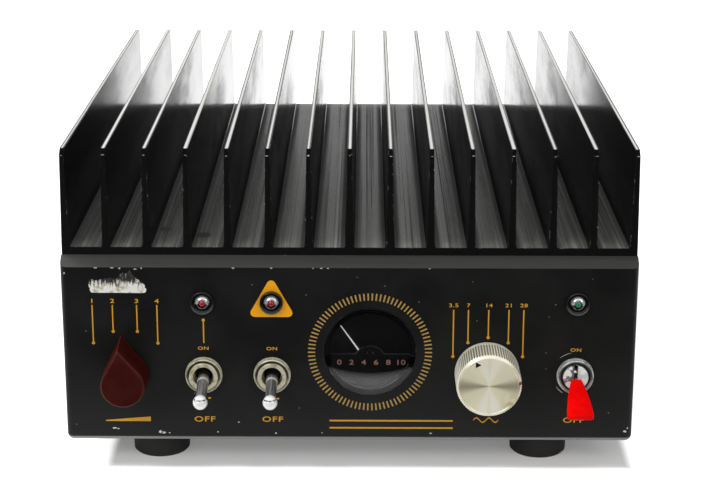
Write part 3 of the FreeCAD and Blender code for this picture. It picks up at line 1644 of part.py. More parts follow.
def capacitors():
    """Electrolytic cans under the amplifier board and flat blocks on the filter board."""
    edge = electrolytic_edge
    r = electrolytic_radius
    h = electrolytic_height
    can = turned((0, 0), (r, 0), (r, h - edge), (r - edge, h), (0, h))
    cans = [stand(can, V(x, y, pa_bottom), -UP) for x, y in capacitor_places()]
    width, depth, height = mica_size
    row = filter_front + mica_row
    blocks = [block(x - width / 2, x + width / 2, row - depth / 2, row + depth / 2,
                    filter_top, filter_top + height) for x in filter_columns]
    return cans + blocks


def relays():
    """Covered relays at the back of the filter board."""
    width, depth, height = relay_size
    row = filter_front + relay_row
    parts = []
    for x in relay_columns:
        relay = block(x - width / 2, x + width / 2, row - depth / 2, row + depth / 2,
                      filter_top, filter_top + height)
        tops = [e for e in relay.Edges if e.CenterOfMass.z > filter_top + tiny]
        parts.append(relay.makeFillet(relay_edge, tops))
    return parts


# ---------------------------------------------------------------- assembly
def assembly():
    """Every node of the model: a name, and one solid or a list of separate solids."""
    return {
        "heat_sink": heat_sink(),
        "front_panel": front_panel(),
        "front_chassis": front_chassis(),
        "rear_panel": rear_panel(),
        "bottom_cover": bottom_cover(),
        "side_rails": side_rails(),
        "rubber_feet": rubber_feet(),
        "foot_screws": foot_screws(),
        "machine_screws": machine_screws(),
        "rx_switch_body": toggle_body(rx_column),
        "mode_switch_body": toggle_body(mode_column),
        "power_switch_body": toggle_body(power_column),
        "rx_switch_bushing": toggle_bushing(rx_column),
        "mode_switch_bushing": toggle_bushing(mode_column),
        "power_switch_bushing": power_bushing(),
        "switch_washers": switch_washers(),
        "panel_nuts": panel_nuts(),
        "lever_pins": lever_pins(),
        "rx_switch_lever": bat_lever(rx_column),
        "mode_switch_lever": bat_lever(mode_column),
        "power_switch_lever": power_lever(),
        "power_switch_paddle": power_paddle(),
        "level_knob": level_knob(),
        "level_shaft": level_shaft(),
        "level_switch_body": level_switch(),
        "band_knob": band_knob(),
        "band_set_screw": band_set_screw(),
        "band_shaft": band_shaft(),
        "band_rotors": band_rotors(),
        "band_switch_frame": band_switch_frame(),
        "band_switch_wafers": band_switch_wafers(),
        "lamp_bezels": lamp_bezels(),
        "red_lamps": [led(rx_column), led(mode_column)],
        "green_lamp": led(power_column),
        "meter_lens": meter_lens(),
        "meter_mask": meter_mask(),
        "meter_dial": meter_dial(),
        "meter_housing": meter_housing(),
        "meter_movement": meter_movement(),
        "meter_coil": meter_coil(),
        "meter_needle": meter_needle(),
        "antenna_socket": rf_socket(socket_columns[1]),
        "input_socket": rf_socket(socket_columns[0]),
        "socket_screws": socket_screws(),
        "socket_contacts": socket_contacts(),
        "jack_insulators": jack_insulators(),
        "phono_jacks": on_rear(phono_jack(), phono_columns, phono_height),
        "terminal_studs": terminal_studs(),
        "terminal_insulators": terminal_insulators(),
        "terminal_nuts": terminal_nuts(),
        "pa_board": pa_board(),
        "rf_transistors": rf_transistors(),
        "input_transformer": input_transformer(),
        "output_transformer": output_transformer(),
        "board_spacers": board_spacers(),
        "filter_board": filter_board(),
        "filter_coils": filter_coils(),
        "relays": relays(),
        "capacitors": capacitors(),
        "control_board": control_board(),
    }


def main():
    os.makedirs("parts", exist_ok=True)
    nodes = {}
    for name, solids in assembly().items():
        nodes[name] = Part.makeCompound(solids) if isinstance(solids, list) else solids
    outline = Part.makeCompound(list(nodes.values())).optimalBoundingBox()
    middle = (outline.YMin + outline.YMax) / 2
    for name, shape in nodes.items():
        shape.translate(V(0, -middle, 0))
        shape.exportStep("parts/" + name + ".step")
    print("nodes", len(nodes), "origin behind the panel's face by", round(middle, 4))


main()
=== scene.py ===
# %% [markdown]
# # A finned radio amplifier, cell by cell
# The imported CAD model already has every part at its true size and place. This notebook dresses it:
# it gives each part its finish, prints the front panel, cuts the threads, lights a small studio
# and sets the camera. Each step says what the real thing is, how it could be made, and why this
# way.

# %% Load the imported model
import json
import math
import random

import bmesh
import bpy
from mathutils import Matrix, Vector


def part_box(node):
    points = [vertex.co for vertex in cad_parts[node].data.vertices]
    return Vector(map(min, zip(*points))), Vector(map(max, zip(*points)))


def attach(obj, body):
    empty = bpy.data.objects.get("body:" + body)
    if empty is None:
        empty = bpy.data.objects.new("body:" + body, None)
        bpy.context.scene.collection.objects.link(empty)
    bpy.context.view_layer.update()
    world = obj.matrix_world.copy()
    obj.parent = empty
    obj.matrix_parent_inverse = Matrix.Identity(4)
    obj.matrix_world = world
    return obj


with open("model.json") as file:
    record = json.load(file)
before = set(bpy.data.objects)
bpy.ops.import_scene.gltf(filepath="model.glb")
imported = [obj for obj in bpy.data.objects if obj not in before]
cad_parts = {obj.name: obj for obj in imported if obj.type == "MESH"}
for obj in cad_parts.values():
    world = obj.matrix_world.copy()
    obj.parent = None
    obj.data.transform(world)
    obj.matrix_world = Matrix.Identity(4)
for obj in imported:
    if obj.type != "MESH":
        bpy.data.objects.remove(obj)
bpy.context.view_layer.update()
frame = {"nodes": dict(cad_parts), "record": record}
nodes = frame["nodes"]
scene = bpy.context.scene
MM = 0.001

# %% [markdown]
# ## Landmarks
# Everything added to the panel has to line up with the parts that stick out of it. The columns and
# heights are therefore read from the CAD parts' own boxes, so nothing is placed by a second copy
# of a number. `face` is where the panel's front lies on the Y axis, which grows towards the back.

# %% Landmarks from the CAD parts


def middle(name):
    """Middle of a CAD node's box."""
    low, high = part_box(name)
    return (low + high) / 2


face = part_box("front_panel")[0].y
sink_low, sink_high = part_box("heat_sink")
meter = middle("meter_dial")
lamp_z = middle("green_lamp").z
switch_z = middle("rx_switch_bushing").z
rx_x, mode_x, power_x = (middle(name + "_switch_bushing").x for name in ("rx", "mode", "power"))
level_x, level_z = middle("level_shaft").x, middle("level_shaft").z
band_x, band_z = middle("band_shaft").x, middle("band_shaft").z
for label, value in (("face", face), ("lamps", lamp_z), ("switches", switch_z), ("meter", meter.z)):
    print(label, "at", round(value / MM, 2), "mm")

# %% [markdown]
# ## Small tools for shader trees
# A finish is a tree of nodes. Building trees by hand in the editor is slow to repeat, so a few
# short functions do it: `add` makes a node and fills its sockets, `calc` is one Math node, `ease`
# is a soft step, and `tint` mixes two colours by a mask. A socket takes a plain value, or another
# node's output.

# %% Tools for shader trees


def fill(tree, node, name, value):
    """Sets a socket to a value, or wires it to another node's output."""
    if isinstance(value, bpy.types.NodeSocket):
        tree.links.new(value, node.inputs[name])
    else:
        node.inputs[name].default_value = value


def add(tree, kind, sockets=None, **settings):
    """Adds a shader node with its settings and sockets."""
    node = tree.nodes.new("ShaderNode" + kind)
    for name, value in settings.items():
        setattr(node, name, value)
    for name, value in (sockets or {}).items():
        fill(tree, node, name, value)
    return node


def calc(tree, operation, a, b=0.0):
    """One step of arithmetic."""
    return add(tree, "Math", {0: a, 1: b}, operation=operation).outputs[0]


def ease(tree, value, low, high, bottom=0.0, top=1.0):
    """A smooth step from bottom to top while value goes from low to high."""
    sockets = {"Value": value, "From Min": low, "From Max": high, "To Min": bottom, "To Max": top}
    return add(tree, "MapRange", sockets, interpolation_type="SMOOTHSTEP").outputs[0]


def tint(tree, mask, a, b):
    """Colour a where the mask is 0, colour b where it is 1."""
    return add(tree, "Mix", {0: mask, 6: a, 7: b}, data_type="RGBA").outputs[2]


def rgb(red, green, blue):
    """A colour as the sockets want it."""
    return (red, green, blue, 1.0)


print("tools ready")

# %% [markdown]
# Masks are multiplied to keep what they share, and the larger of two keeps both. These are all
# Math nodes in a row, so one maker gives the five functions. `flip` turns a mask round, `window`
# is a band with two soft sides, and `layers` lays colours over each other like coats of paint.

# %% Sums of masks and layers of colour


def in_a_row(operation):
    """A function that joins values with one operation, from left to right."""
    def join(tree, value, *others):
        for other in others:
            value = calc(tree, operation, value, other)
        return value
    return join


times, plus, minus, most, least = (in_a_row(operation) for operation in
                                   ("MULTIPLY", "ADD", "SUBTRACT", "MAXIMUM", "MINIMUM"))


def flip(tree, mask):
    """1 where the mask is 0, and 0 where it is 1."""
    return minus(tree, 1.0, mask)


def window(tree, value, start, full, fading, stop):
    """A band that rises from start to full, and falls from fading to stop."""
    return times(tree, ease(tree, value, start, full), ease(tree, value, stop, fading))


def layers(tree, base, *coats):
    """Lays coats over a base colour; a coat is a mask and its colour."""
    for mask, colour in coats:
        base = tint(tree, mask, base, rgb(*colour))
    return base


print("mask tools ready")

# %% [markdown]
# A finish often depends on where a point is on its part, and on which way the surface faces there.
# Object coordinates give the first in metres and stay on the part when it moves.

# %% Places and directions


def object_point(tree):
    """The point being shaded, in metres, fixed to the part."""
    return add(tree, "TexCoord").outputs["Object"]


def split(tree, arrow):
    """X, Y and Z of a vector."""
    return add(tree, "SeparateXYZ", {0: arrow}).outputs


def place_on(tree):
    """X, Y and Z of the point being shaded."""
    return split(tree, object_point(tree))


def facing_of(tree):
    """X, Y and Z of the direction in which the surface faces."""
    return split(tree, add(tree, "NewGeometry").outputs["Normal"])


def vector_calc(tree, operation, a, b=None):
    """One step of vector arithmetic; a length or a dot product is a plain value."""
    node = add(tree, "VectorMath", {0: a} if b is None else {0: a, 1: b}, operation=operation)
    return node.outputs["Value" if operation in ("LENGTH", "DOT_PRODUCT") else "Vector"]


def scaled(tree, colour, factor):
    """A colour made lighter or darker by a mask."""
    return add(tree, "VectorMath", {0: colour, "Scale": factor}, operation="SCALE").outputs[0]


print("places ready")

# %% [markdown]
# ## Shared surface effects
# Wear, grain, drawn lines and dust turn up on many parts. Each is one node group with named
# inputs, built once and placed in each material with that material's own values. A group only puts
# out masks, so the shader itself stays in the material where the exporter can read it.

# %% A helper that makes node groups


def new_group(name, inputs, outputs):
    """A group with its sockets; gives back the group, its input and its output sockets."""
    group = bpy.data.node_groups.new(name, "ShaderNodeTree")
    for label, kind, value in inputs:
        made = group.interface.new_socket(name=label, in_out="INPUT",
                                          socket_type="NodeSocket" + kind)
        made.default_value = value
    for label in outputs:
        group.interface.new_socket(name=label, in_out="OUTPUT", socket_type="NodeSocketFloat")
    entry = group.nodes.new("NodeGroupInput").outputs
    end = group.nodes.new("NodeGroupOutput")
    return group, entry, end


def use(tree, group, **sockets):
    """Places a group in a material; underscores in the names stand for spaces."""
    node = tree.nodes.new("ShaderNodeGroup")
    node.node_tree = group
    for name, value in sockets.items():
        fill(tree, node, name.replace("_", " "), value)
    return node.outputs


# %% [markdown]
# Grain is the fine mottle of paint, rubber and moulded plastic. Noise in object space needs no
# unwrapping and stays the same size on every part.

# %% Grain
grain, ins, end = new_group("grain", [("Scale", "Float", 1200.0), ("Detail", "Float", 3.0)],
                            ["Mask"])
noise = add(grain, "TexNoise", {"Vector": object_point(grain), "Scale": ins["Scale"],
                                "Detail": ins["Detail"], "Roughness": 0.6})
fill(grain, end, "Mask", noise.outputs[0])


def mottle(tree, scale, detail=3.0):
    """Grain at one scale, as a mask."""
    return use(tree, grain, Scale=scale, Detail=detail)["Mask"]


print("group", grain.name)

# %% [markdown]
# Extruded and brushed metal has long fine lines. The same noise makes them when space is squeezed
# far more across the lines than along them: Stretch holds the three scales.

# %% Drawn lines
lines, ins, end = new_group("drawn_lines", [("Stretch", "Vector", (900.0, 8.0, 900.0)),
                                            ("Detail", "Float", 3.0)], ["Mask"])
squeezed = vector_calc(lines, "MULTIPLY", object_point(lines), ins["Stretch"])
noise = add(lines, "TexNoise", {"Vector": squeezed, "Scale": 1.0, "Detail": ins["Detail"],
                                "Roughness": 0.65})
fill(lines, end, "Mask", noise.outputs[0])


def drawn(tree, stretch, detail=3.0):
    """Drawn lines with one stretch, as a mask."""
    return use(tree, lines, Stretch=stretch, Detail=detail)["Mask"]


print("group", lines.name)

# %% [markdown]
# Turned faces carry fine circles round their axis. The distance from the axis drives a
# one-dimensional noise, so the circles run true. The axis of every knob and switch here is
# parallel to Y.

# %% Turning marks
rings, ins, end = new_group("turning_marks", [("Centre", "Vector", (0.0, 0.0, 0.0)),
                                              ("Scale", "Float", 3000.0)], ["Mask", "Radius"])
offset = vector_calc(rings, "SUBTRACT", object_point(rings), ins["Centre"])
flat = vector_calc(rings, "MULTIPLY", offset, (1.0, 0.0, 1.0))
radius = vector_calc(rings, "LENGTH", flat)
noise = add(rings, "TexNoise", {"W": radius, "Scale": ins["Scale"], "Detail": 2.0},
            noise_dimensions="1D")
fill(rings, end, "Mask", noise.outputs[0])
fill(rings, end, "Radius", radius)
print("group", rings.name)

# %% [markdown]
# Dust and small chips are dots with empty space between them. Voronoi cells give one candidate
# each; a random number per cell decides which of them hold a dot, and noise roughens the outline.

# %% Specks
specks, ins, end = new_group("specks", [("Scale", "Float", 120.0), ("Size", "Float", 0.12),
                                        ("Share", "Float", 0.1)], ["Mask"])
ragged = 0.8 * MM
point = object_point(specks)
wobble = add(specks, "TexNoise", {"Vector": point, "Scale": 1500.0, "Detail": 2.0}).outputs[1]
moved = vector_calc(specks, "ADD", point, vector_calc(specks, "MULTIPLY", wobble, (ragged,) * 3))
cells = add(specks, "TexVoronoi", {"Vector": moved, "Scale": ins["Scale"]})
near = calc(specks, "LESS_THAN", cells.outputs["Distance"], ins["Size"])
draw = add(specks, "SeparateColor", {0: cells.outputs["Color"]}).outputs[0]
chosen = calc(specks, "LESS_THAN", draw, ins["Share"])
fill(specks, end, "Mask", times(specks, near, chosen))
print("group", specks.name)

# %% [markdown]
# Paint and anodising go first at the corners. The Bevel node looks round a corner, so where its
# normal leaves the true one there is an edge; noise then breaks the edge into chips. Painting wear
# by hand would need a texture for every part.

# %% Edge wear
wear, ins, end = new_group("edge_wear", [("Radius", "Float", 0.6 * MM), ("Scale", "Float", 900.0),
                                         ("Amount", "Float", 0.4)], ["Mask", "Edge"])
rounded = add(wear, "Bevel", {"Radius": ins["Radius"]}, samples=4).outputs[0]
straight = add(wear, "NewGeometry").outputs["Normal"]
edge = ease(wear, flip(wear, vector_calc(wear, "DOT_PRODUCT", rounded, straight)), 0.01, 0.16)
broken = add(wear, "TexNoise", {"Vector": object_point(wear), "Scale": ins["Scale"], "Detail": 4.0,
                                "Roughness": 0.7}).outputs[0]
level = flip(wear, ins["Amount"])
left = ease(wear, broken, minus(wear, level, 0.04), plus(wear, level, 0.04))
fill(wear, end, "Mask", times(wear, edge, left))
fill(wear, end, "Edge", edge)
print("group", wear.name)

# %% [markdown]
# ## Finishes
# Each finish starts from one Principled shader with plain numbers on its own sockets. What changes
# over the surface is wired in afterwards.

# %% Start of a finish


def finish(name, colour, roughness, metallic=0.0, **plain):
    """A material with one Principled shader; plain holds further constant sockets."""
    material = bpy.data.materials.new(name)
    material.use_nodes = True
    shader = material.node_tree.nodes["Principled BSDF"]
    sockets = {"Base Color": rgb(*colour), "Roughness": roughness, "Metallic": metallic}
    for socket, value in {**sockets, **plain}.items():
        shader.inputs[socket.replace("_", " ")].default_value = value
    return material, material.node_tree, shader


def emboss(tree, shader, height, distance, strength=1.0):
    """Raises the surface by a height mask, distance in metres."""
    bump = add(tree, "Bump", {"Strength": strength, "Distance": distance, "Height": height})
    fill(tree, shader, "Normal", bump.outputs[0])


finishes = {}
print("shader starts ready")

# %% [markdown]
# The heat sink is one aluminium extrusion, anodised black. The dye takes evenly but the die leaves
# long lines and handling smears them. The fins' top faces are painted light grey and partly
# metallic: partly bare metal rubbed through, partly a painted highlight for the light from above.
# It is smooth enough to mirror at a low angle, which is why the far half of every fin shows the
# white room: a high index of refraction gives that without making it a metal. The first cell makes
# the masks, which tell tips, chamfers, channel floors and fin roots apart by place and direction.

# %% Black anodised extrusion: masks
fin_pitch = 16 * MM
material, tree, shader = finish("black_anodised", (0.008, 0.008, 0.0085), 0.1, IOR=1.9)
point = object_point(tree)
place, facing = split(tree, point), facing_of(tree)
from_fin = calc(tree, "PINGPONG", place[0], fin_pitch / 2)
die_lines = drawn(tree, (1000.0, 1.6, 1000.0))
broad_lines = drawn(tree, (330.0, 0.8, 330.0), 2.0)
smear = drawn(tree, (60.0, 14.0, 60.0), 4.0)
top_face = ease(tree, facing[2], 0.8, 0.97)
high = ease(tree, place[2], sink_high.z - 0.8 * MM, sink_high.z - 0.4 * MM)
ragged = plus(tree, from_fin, ease(tree, die_lines, 0.3, 0.7, 0.0, 0.5 * MM))
# Fin tips: painted light grey, partly rubbed bare and partly a painted highlight from above.
rubbed_and_lit = times(tree, top_face, high, ease(tree, ragged, 0.9 * MM, 0.6 * MM))
bare_and_lit = most(tree, rubbed_and_lit, use(tree, wear, Radius=0.4 * MM, Scale=650.0, Amount=0.37)["Mask"])
chamfer = times(tree, ease(tree, facing[1], -0.3, -0.5), ease(tree, facing[2], 0.3, 0.5))
lane = times(tree, top_face, ease(tree, place[2], 100 * MM, 95 * MM))
# Painted shade beside the fins.
shade_beside_fins = times(tree, lane, ease(tree, from_fin, 5.4 * MM, 2.4 * MM))
# A light line on the root fillets: a painted highlight.
root_highlight = times(tree, window(tree, facing[2], 0.25, 0.45, 0.65, 0.85),
             ease(tree, place[2], 93 * MM, 92 * MM))
print("masks of", material.name)

# %% [markdown]
# The channel floors are painted a grey far lighter than the fins' sides: partly dirt, and partly
# painted light, for the light from above that reaches them and not the sides. They are streaked
# lengthwise, painted dark beside the fins, a painted shade, and spotted by dried drops and one oval
# stain. They are painted paler towards the far end, and lighter over the front 75 mm, a painted
# light. Light Path darkens them in mirror images, because a second bounce between smooth fins
# would add more light than the worn real ones return.

# %% Black anodised extrusion: channel floors
streak = times(tree, ease(tree, die_lines, 0.3, 0.7, 0.4, 1.8),
               ease(tree, broad_lines, 0.3, 0.7, 0.55, 1.5))
# Painted light: the floors lighter over the front 75 mm.
lit_front = ease(tree, place[1], sink_low.y + 4 * MM, sink_low.y + 75 * MM, 1.9, 1.0)
drops = use(tree, specks, Scale=33.0, Size=0.15, Share=0.07)["Mask"]
stain_at, squash = (-74.8 * MM, face + 30.3 * MM, 0.0), (1.0, 0.6, 0.0)
oval = vector_calc(tree, "MULTIPLY", vector_calc(tree, "SUBTRACT", point, stain_at), squash)
stained = times(tree, lane, ease(tree, vector_calc(tree, "LENGTH", oval), 2.6 * MM, 2.2 * MM))
mirrored = add(tree, "LightPath").outputs["Is Glossy Ray"]
# The floors painted paler over their last 16 mm.
paler_far_end = ease(tree, place[1], sink_high.y - 16 * MM, sink_high.y)
# Channel floors painted grey: partly dirt, partly painted light; painted shade beside the fins.
ground = layers(tree, scaled(tree, (0.112, 0.112, 0.100), times(tree, streak, lit_front)),
                (times(tree, drops, 0.85), (0.008, 0.008, 0.007)),
                (times(tree, shade_beside_fins, 0.8), (0.006, 0.006, 0.006)),
                (times(tree, stained, 0.8), (0.008, 0.008, 0.007)),
                (times(tree, mirrored, 0.75), (0.004, 0.004, 0.004)),
                (times(tree, paler_far_end, 0.6), (0.62, 0.62, 0.60)))
print("channel floors of", material.name)

# %% [markdown]
# Dirt also takes the polish away, so the same masks raise the roughness, the painted shade beside
# the fins among them. The chamfers at the fins' ends were milled after the die, so they get a
# plain normal of their own and stay black.

# %% Black anodised extrusion: colour, polish and relief
# Fin sides near black and floors grey: the floors' grey is partly dirt and partly painted light.
body = layers(tree, tint(tree, lane, rgb(0.0025, 0.0025, 0.0027), ground),
              (times(tree, root_highlight, 0.12), (0.30, 0.30, 0.28)), (bare_and_lit, (0.72, 0.72, 0.69)))
fill(tree, shader, "Base Color", body)
fill(tree, shader, "Metallic", times(tree, bare_and_lit, 0.35))
dull = plus(tree, ease(tree, smear, 0.40, 0.72, 0.17, 0.25), times(tree, bare_and_lit, 0.3))
# Roughness follows the dirt and the painted shade beside the fins.
grime_and_shade = most(tree, times(tree, shade_beside_fins, 0.9), most(tree, stained, drops))
grime_and_shade = most(tree, grime_and_shade, ease(tree, streak, 1.1, 0.3, 0.0, 0.7))
rough = times(tree, lane, ease(tree, grime_and_shade, 0.0, 1.0, 0.03, 0.55))
fill(tree, shader, "Roughness", plus(tree, dull, rough))
raised = add(tree, "Bump", {"Strength": 0.2, "Distance": 0.01 * MM, "Height": die_lines}).outputs[0]
milled = (0.0, -0.99, 0.14)
normal = add(tree, "Mix", {0: chamfer, 4: raised, 5: milled}, data_type="VECTOR").outputs[1]
fill(tree, shader, "Normal", normal)
finishes["black_anodised"] = material
print("finish", material.name)

# %% [markdown]
# The front panel is a thick plate in matte black paint. Its bevel is painted grey, partly for
# paint thinned by years of use and partly a painted highlight for the light from above; its rounded
# lower edge is painted a paler grey, a painted reflection of the white floor. The odd fleck of dust
# sits on it.
# The case is folded sheet in a satin black. Both paints come from one function.

# %% Matte panel paint and satin case paint


def black_paint(name, colour, roughness, chip_amount, thin=0.0, dust=0.03):
    """Black paint: fine texture, chips, dust, thin paint and painted light above, painted reflection
    below.
    """
    material, tree, shader = finish(name, colour, roughness, Specular_IOR_Level=0.25)
    fine, broad = mottle(tree, 1700.0, 2.0), mottle(tree, 45.0, 4.0)
    chips = use(tree, wear, Radius=0.6 * MM, Scale=420.0, Amount=chip_amount)
    flecks = use(tree, specks, Scale=95.0, Size=0.06, Share=dust)["Mask"]
    upward = facing_of(tree)[2]
    streaks = ease(tree, drawn(tree, (9.0, 9.0, 700.0)), 0.3, 0.7, 0.75, 1.1)
    # worn holds chips and dust, plus painted light on up-facing faces (with thin paint) and a
    # painted reflection of the floor on down-facing ones.
    worn = layers(tree, scaled(tree, colour, ease(tree, broad, 0.3, 0.7, 0.8, 1.25)),
                  (times(tree, ease(tree, upward, 0.3, 0.6), thin, streaks), (0.042, 0.042, 0.040)),
                  (times(tree, ease(tree, upward, -0.1, -0.55), 1.4 * thin, streaks),
                   (0.36, 0.36, 0.34)),
                  (times(tree, chips["Edge"], 0.2), (0.05, 0.05, 0.048)),
                  (chips["Mask"], (0.42, 0.42, 0.40)),
                  (times(tree, flecks, 0.4), (0.25, 0.25, 0.22)))
    fill(tree, shader, "Base Color", worn)
    fill(tree, shader, "Roughness", ease(tree, broad, 0.3, 0.7, roughness - 0.05, roughness + 0.08))
    fill(tree, shader, "Metallic", times(tree, chips["Mask"], 0.6))
    emboss(tree, shader, minus(tree, fine, times(tree, chips["Mask"], 2.0)), 0.03 * MM, 0.5)
    return material


finishes["black_panel"] = black_paint("black_panel", (0.0066, 0.0070, 0.0065), 0.5, 0.31, 1.0, 0.04)
finishes["black_case"] = black_paint("black_case", (0.010, 0.010, 0.010), 0.42, 0.30)
print("finishes", [finishes[name].name for name in ("black_panel", "black_case")])

# %% [markdown]
# The hardware is plated: aged nickel on the toggles, bright nickel on levers, sockets and bezels,
# dull zinc on sheet and screws. All are metals; they differ in colour, polish and how patchy the
# tarnish is, so one function makes them all.

# %% Plated and bare metals


def plated(name, colour, stain, roughness, patchy, scale=260.0):
    """Plated metal: tarnish patches that are darker and duller, and fine rub marks."""
    material, tree, shader = finish(name, colour, roughness, 1.0)
    mask = ease(tree, mottle(tree, scale, 5.0), 0.62 - patchy, 0.78)
    fine = mottle(tree, scale * 9.0, 2.0)
    fill(tree, shader, "Base Color", tint(tree, mask, rgb(*colour), rgb(*stain)))
    dull = ease(tree, mask, 0.0, 1.0, roughness, roughness + 0.25)
    fill(tree, shader, "Roughness", plus(tree, dull, ease(tree, fine, 0.3, 0.7, -0.03, 0.05)))
    emboss(tree, shader, fine, 0.01 * MM, 0.3)
    return material


platings = {"nickel": ((0.74, 0.70, 0.57), (0.30, 0.25, 0.15), 0.24, 0.2),
            "bright_nickel": ((0.82, 0.82, 0.81), (0.50, 0.49, 0.46), 0.10, 0.05),
            "steel_screw": ((0.24, 0.24, 0.235), (0.10, 0.095, 0.085), 0.36, 0.15),
            "zinc_sheet": ((0.60, 0.60, 0.57), (0.42, 0.41, 0.36), 0.34, 0.2, 90.0),
            "iron": ((0.36, 0.36, 0.37), (0.20, 0.18, 0.16), 0.42, 0.2),
            "copper_coil": ((0.66, 0.30, 0.13), (0.35, 0.14, 0.06), 0.3, 0.15),
            "gold_contact": ((0.80, 0.60, 0.26), (0.45, 0.32, 0.14), 0.25, 0.15)}
for name, values in platings.items():
    finishes[name] = plated(name, *values)
print("finishes", len(finishes))

# %% [markdown]
# The band knob is turned from aluminium and lacquered. Its face is spun: light spreads across the
# fine circles and draws bright sectors, which an anisotropic shader with a tangent round the Y
# axis gives. So soft a light alone leaves the sectors weak, so their colour is partly painted, by
# the angle round the shaft, as painted highlights and painted shade. The grooves of the knurl are
# painted dark too, a painted shade, by their distance from the shaft.

# %% Spun aluminium: sectors and grooves
material, tree, shader = finish("spun_aluminium", (0.80, 0.77, 0.64), 0.3, 1.0, Anisotropic=0.85,
                                Anisotropic_Rotation=0.25)
fill(tree, shader, "Tangent", add(tree, "Tangent", direction_type="RADIAL", axis="Y").outputs[0])
knob_low, knob_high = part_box("band_knob")
crest, spun_face = (knob_high.x - knob_low.x) / 2, 12 * MM
place = place_on(tree)
marks = use(tree, rings, Centre=(band_x, 0.0, band_z), Scale=5200.0)
side = ease(tree, marks["Radius"], spun_face, spun_face + 0.2 * MM)
above = calc(tree, "ABSOLUTE", minus(tree, place[2], band_z))
upright = calc(tree, "DIVIDE", above, marks["Radius"])
dark_ray = ease(tree, upright, 0.42, 0.0)
bright_ray = times(tree, ease(tree, upright, 0.80, 0.99), ease(tree, upright, 1.0, 0.995, 0.4, 1.0))
# Painted shade in the knurl's grooves.
groove_shade = times(tree, ease(tree, marks["Radius"], crest - 0.12 * MM, crest - 0.32 * MM),
               ease(tree, place[1], knob_low.y + 1.4 * MM, knob_low.y + 1.7 * MM))
print("sectors and grooves of", material.name)

# %% [markdown]
# The old lacquer has yellowed at one side, and a spot of it is burnt brown at the edge of the
# face.

# %% Spun aluminium: colour and polish
yellowed = times(tree, ease(tree, place[0], band_x + 3 * MM, band_x + 9 * MM),
                 ease(tree, place[2], band_z - 1 * MM, band_z - 8 * MM),
                 ease(tree, mottle(tree, 330.0), 0.38, 0.6))
spot = use(tree, rings, Centre=(band_x + 12.1 * MM, 0.0, band_z + 1.2 * MM))["Radius"]
metal = layers(tree, rgb(0.92, 0.865, 0.63), (dark_ray, (0.42, 0.39, 0.27)),
               (bright_ray, (1.0, 0.97, 0.82)), (side, (1.0, 0.98, 0.84)),
               (times(tree, groove_shade, 0.85), (0.16, 0.14, 0.08)),
               (times(tree, yellowed, 0.7), (0.50, 0.40, 0.18)),
               (ease(tree, spot, 0.9 * MM, 0.5 * MM), (0.22, 0.07, 0.03)))
fill(tree, shader, "Base Color", metal)
fill(tree, shader, "Metallic", ease(tree, side, 0.0, 1.0, 0.32, 0.3))
fill(tree, shader, "Roughness", ease(tree, marks["Mask"], 0.3, 0.7, 0.30, 0.36))
emboss(tree, shader, marks["Mask"], 0.003 * MM, 0.2)
finishes["spun_aluminium"] = material
print("finish", material.name)

# %% [markdown]
# Plastics and rubber: body colour, a polish, a mottle and a moulded texture. Edges are painted
# lighter, partly for the rubbing of hands and partly as a painted highlight. The needle has a little
# light of its own, so it shows behind the lens.

# %% Plastics, rubber and coated parts


def moulded(name, colour, rubbed_and_lit, roughness, scale=900.0, relief=0.02 * MM, edge=0.35, **plain):
    """Moulded part: mottled colour, fine relief, and edges painted lighter, for rubbing and as a
    painted highlight.
    """
    material, tree, shader = finish(name, colour, roughness, **plain)
    broad = mottle(tree, scale / 9.0, 4.0)
    edges = use(tree, wear, Radius=0.5 * MM, Scale=scale, Amount=0.5)["Edge"]
    base = scaled(tree, colour, ease(tree, broad, 0.25, 0.75, 0.8, 1.2))
    # Edges painted lighter: partly rubbing, partly a painted highlight.
    fill(tree, shader, "Base Color", layers(tree, base, (times(tree, edges, edge), rubbed_and_lit)))
    fill(tree, shader, "Roughness", ease(tree, broad, 0.3, 0.7, roughness - 0.04, roughness + 0.08))
    emboss(tree, shader, mottle(tree, scale), relief, 0.5)
    return material


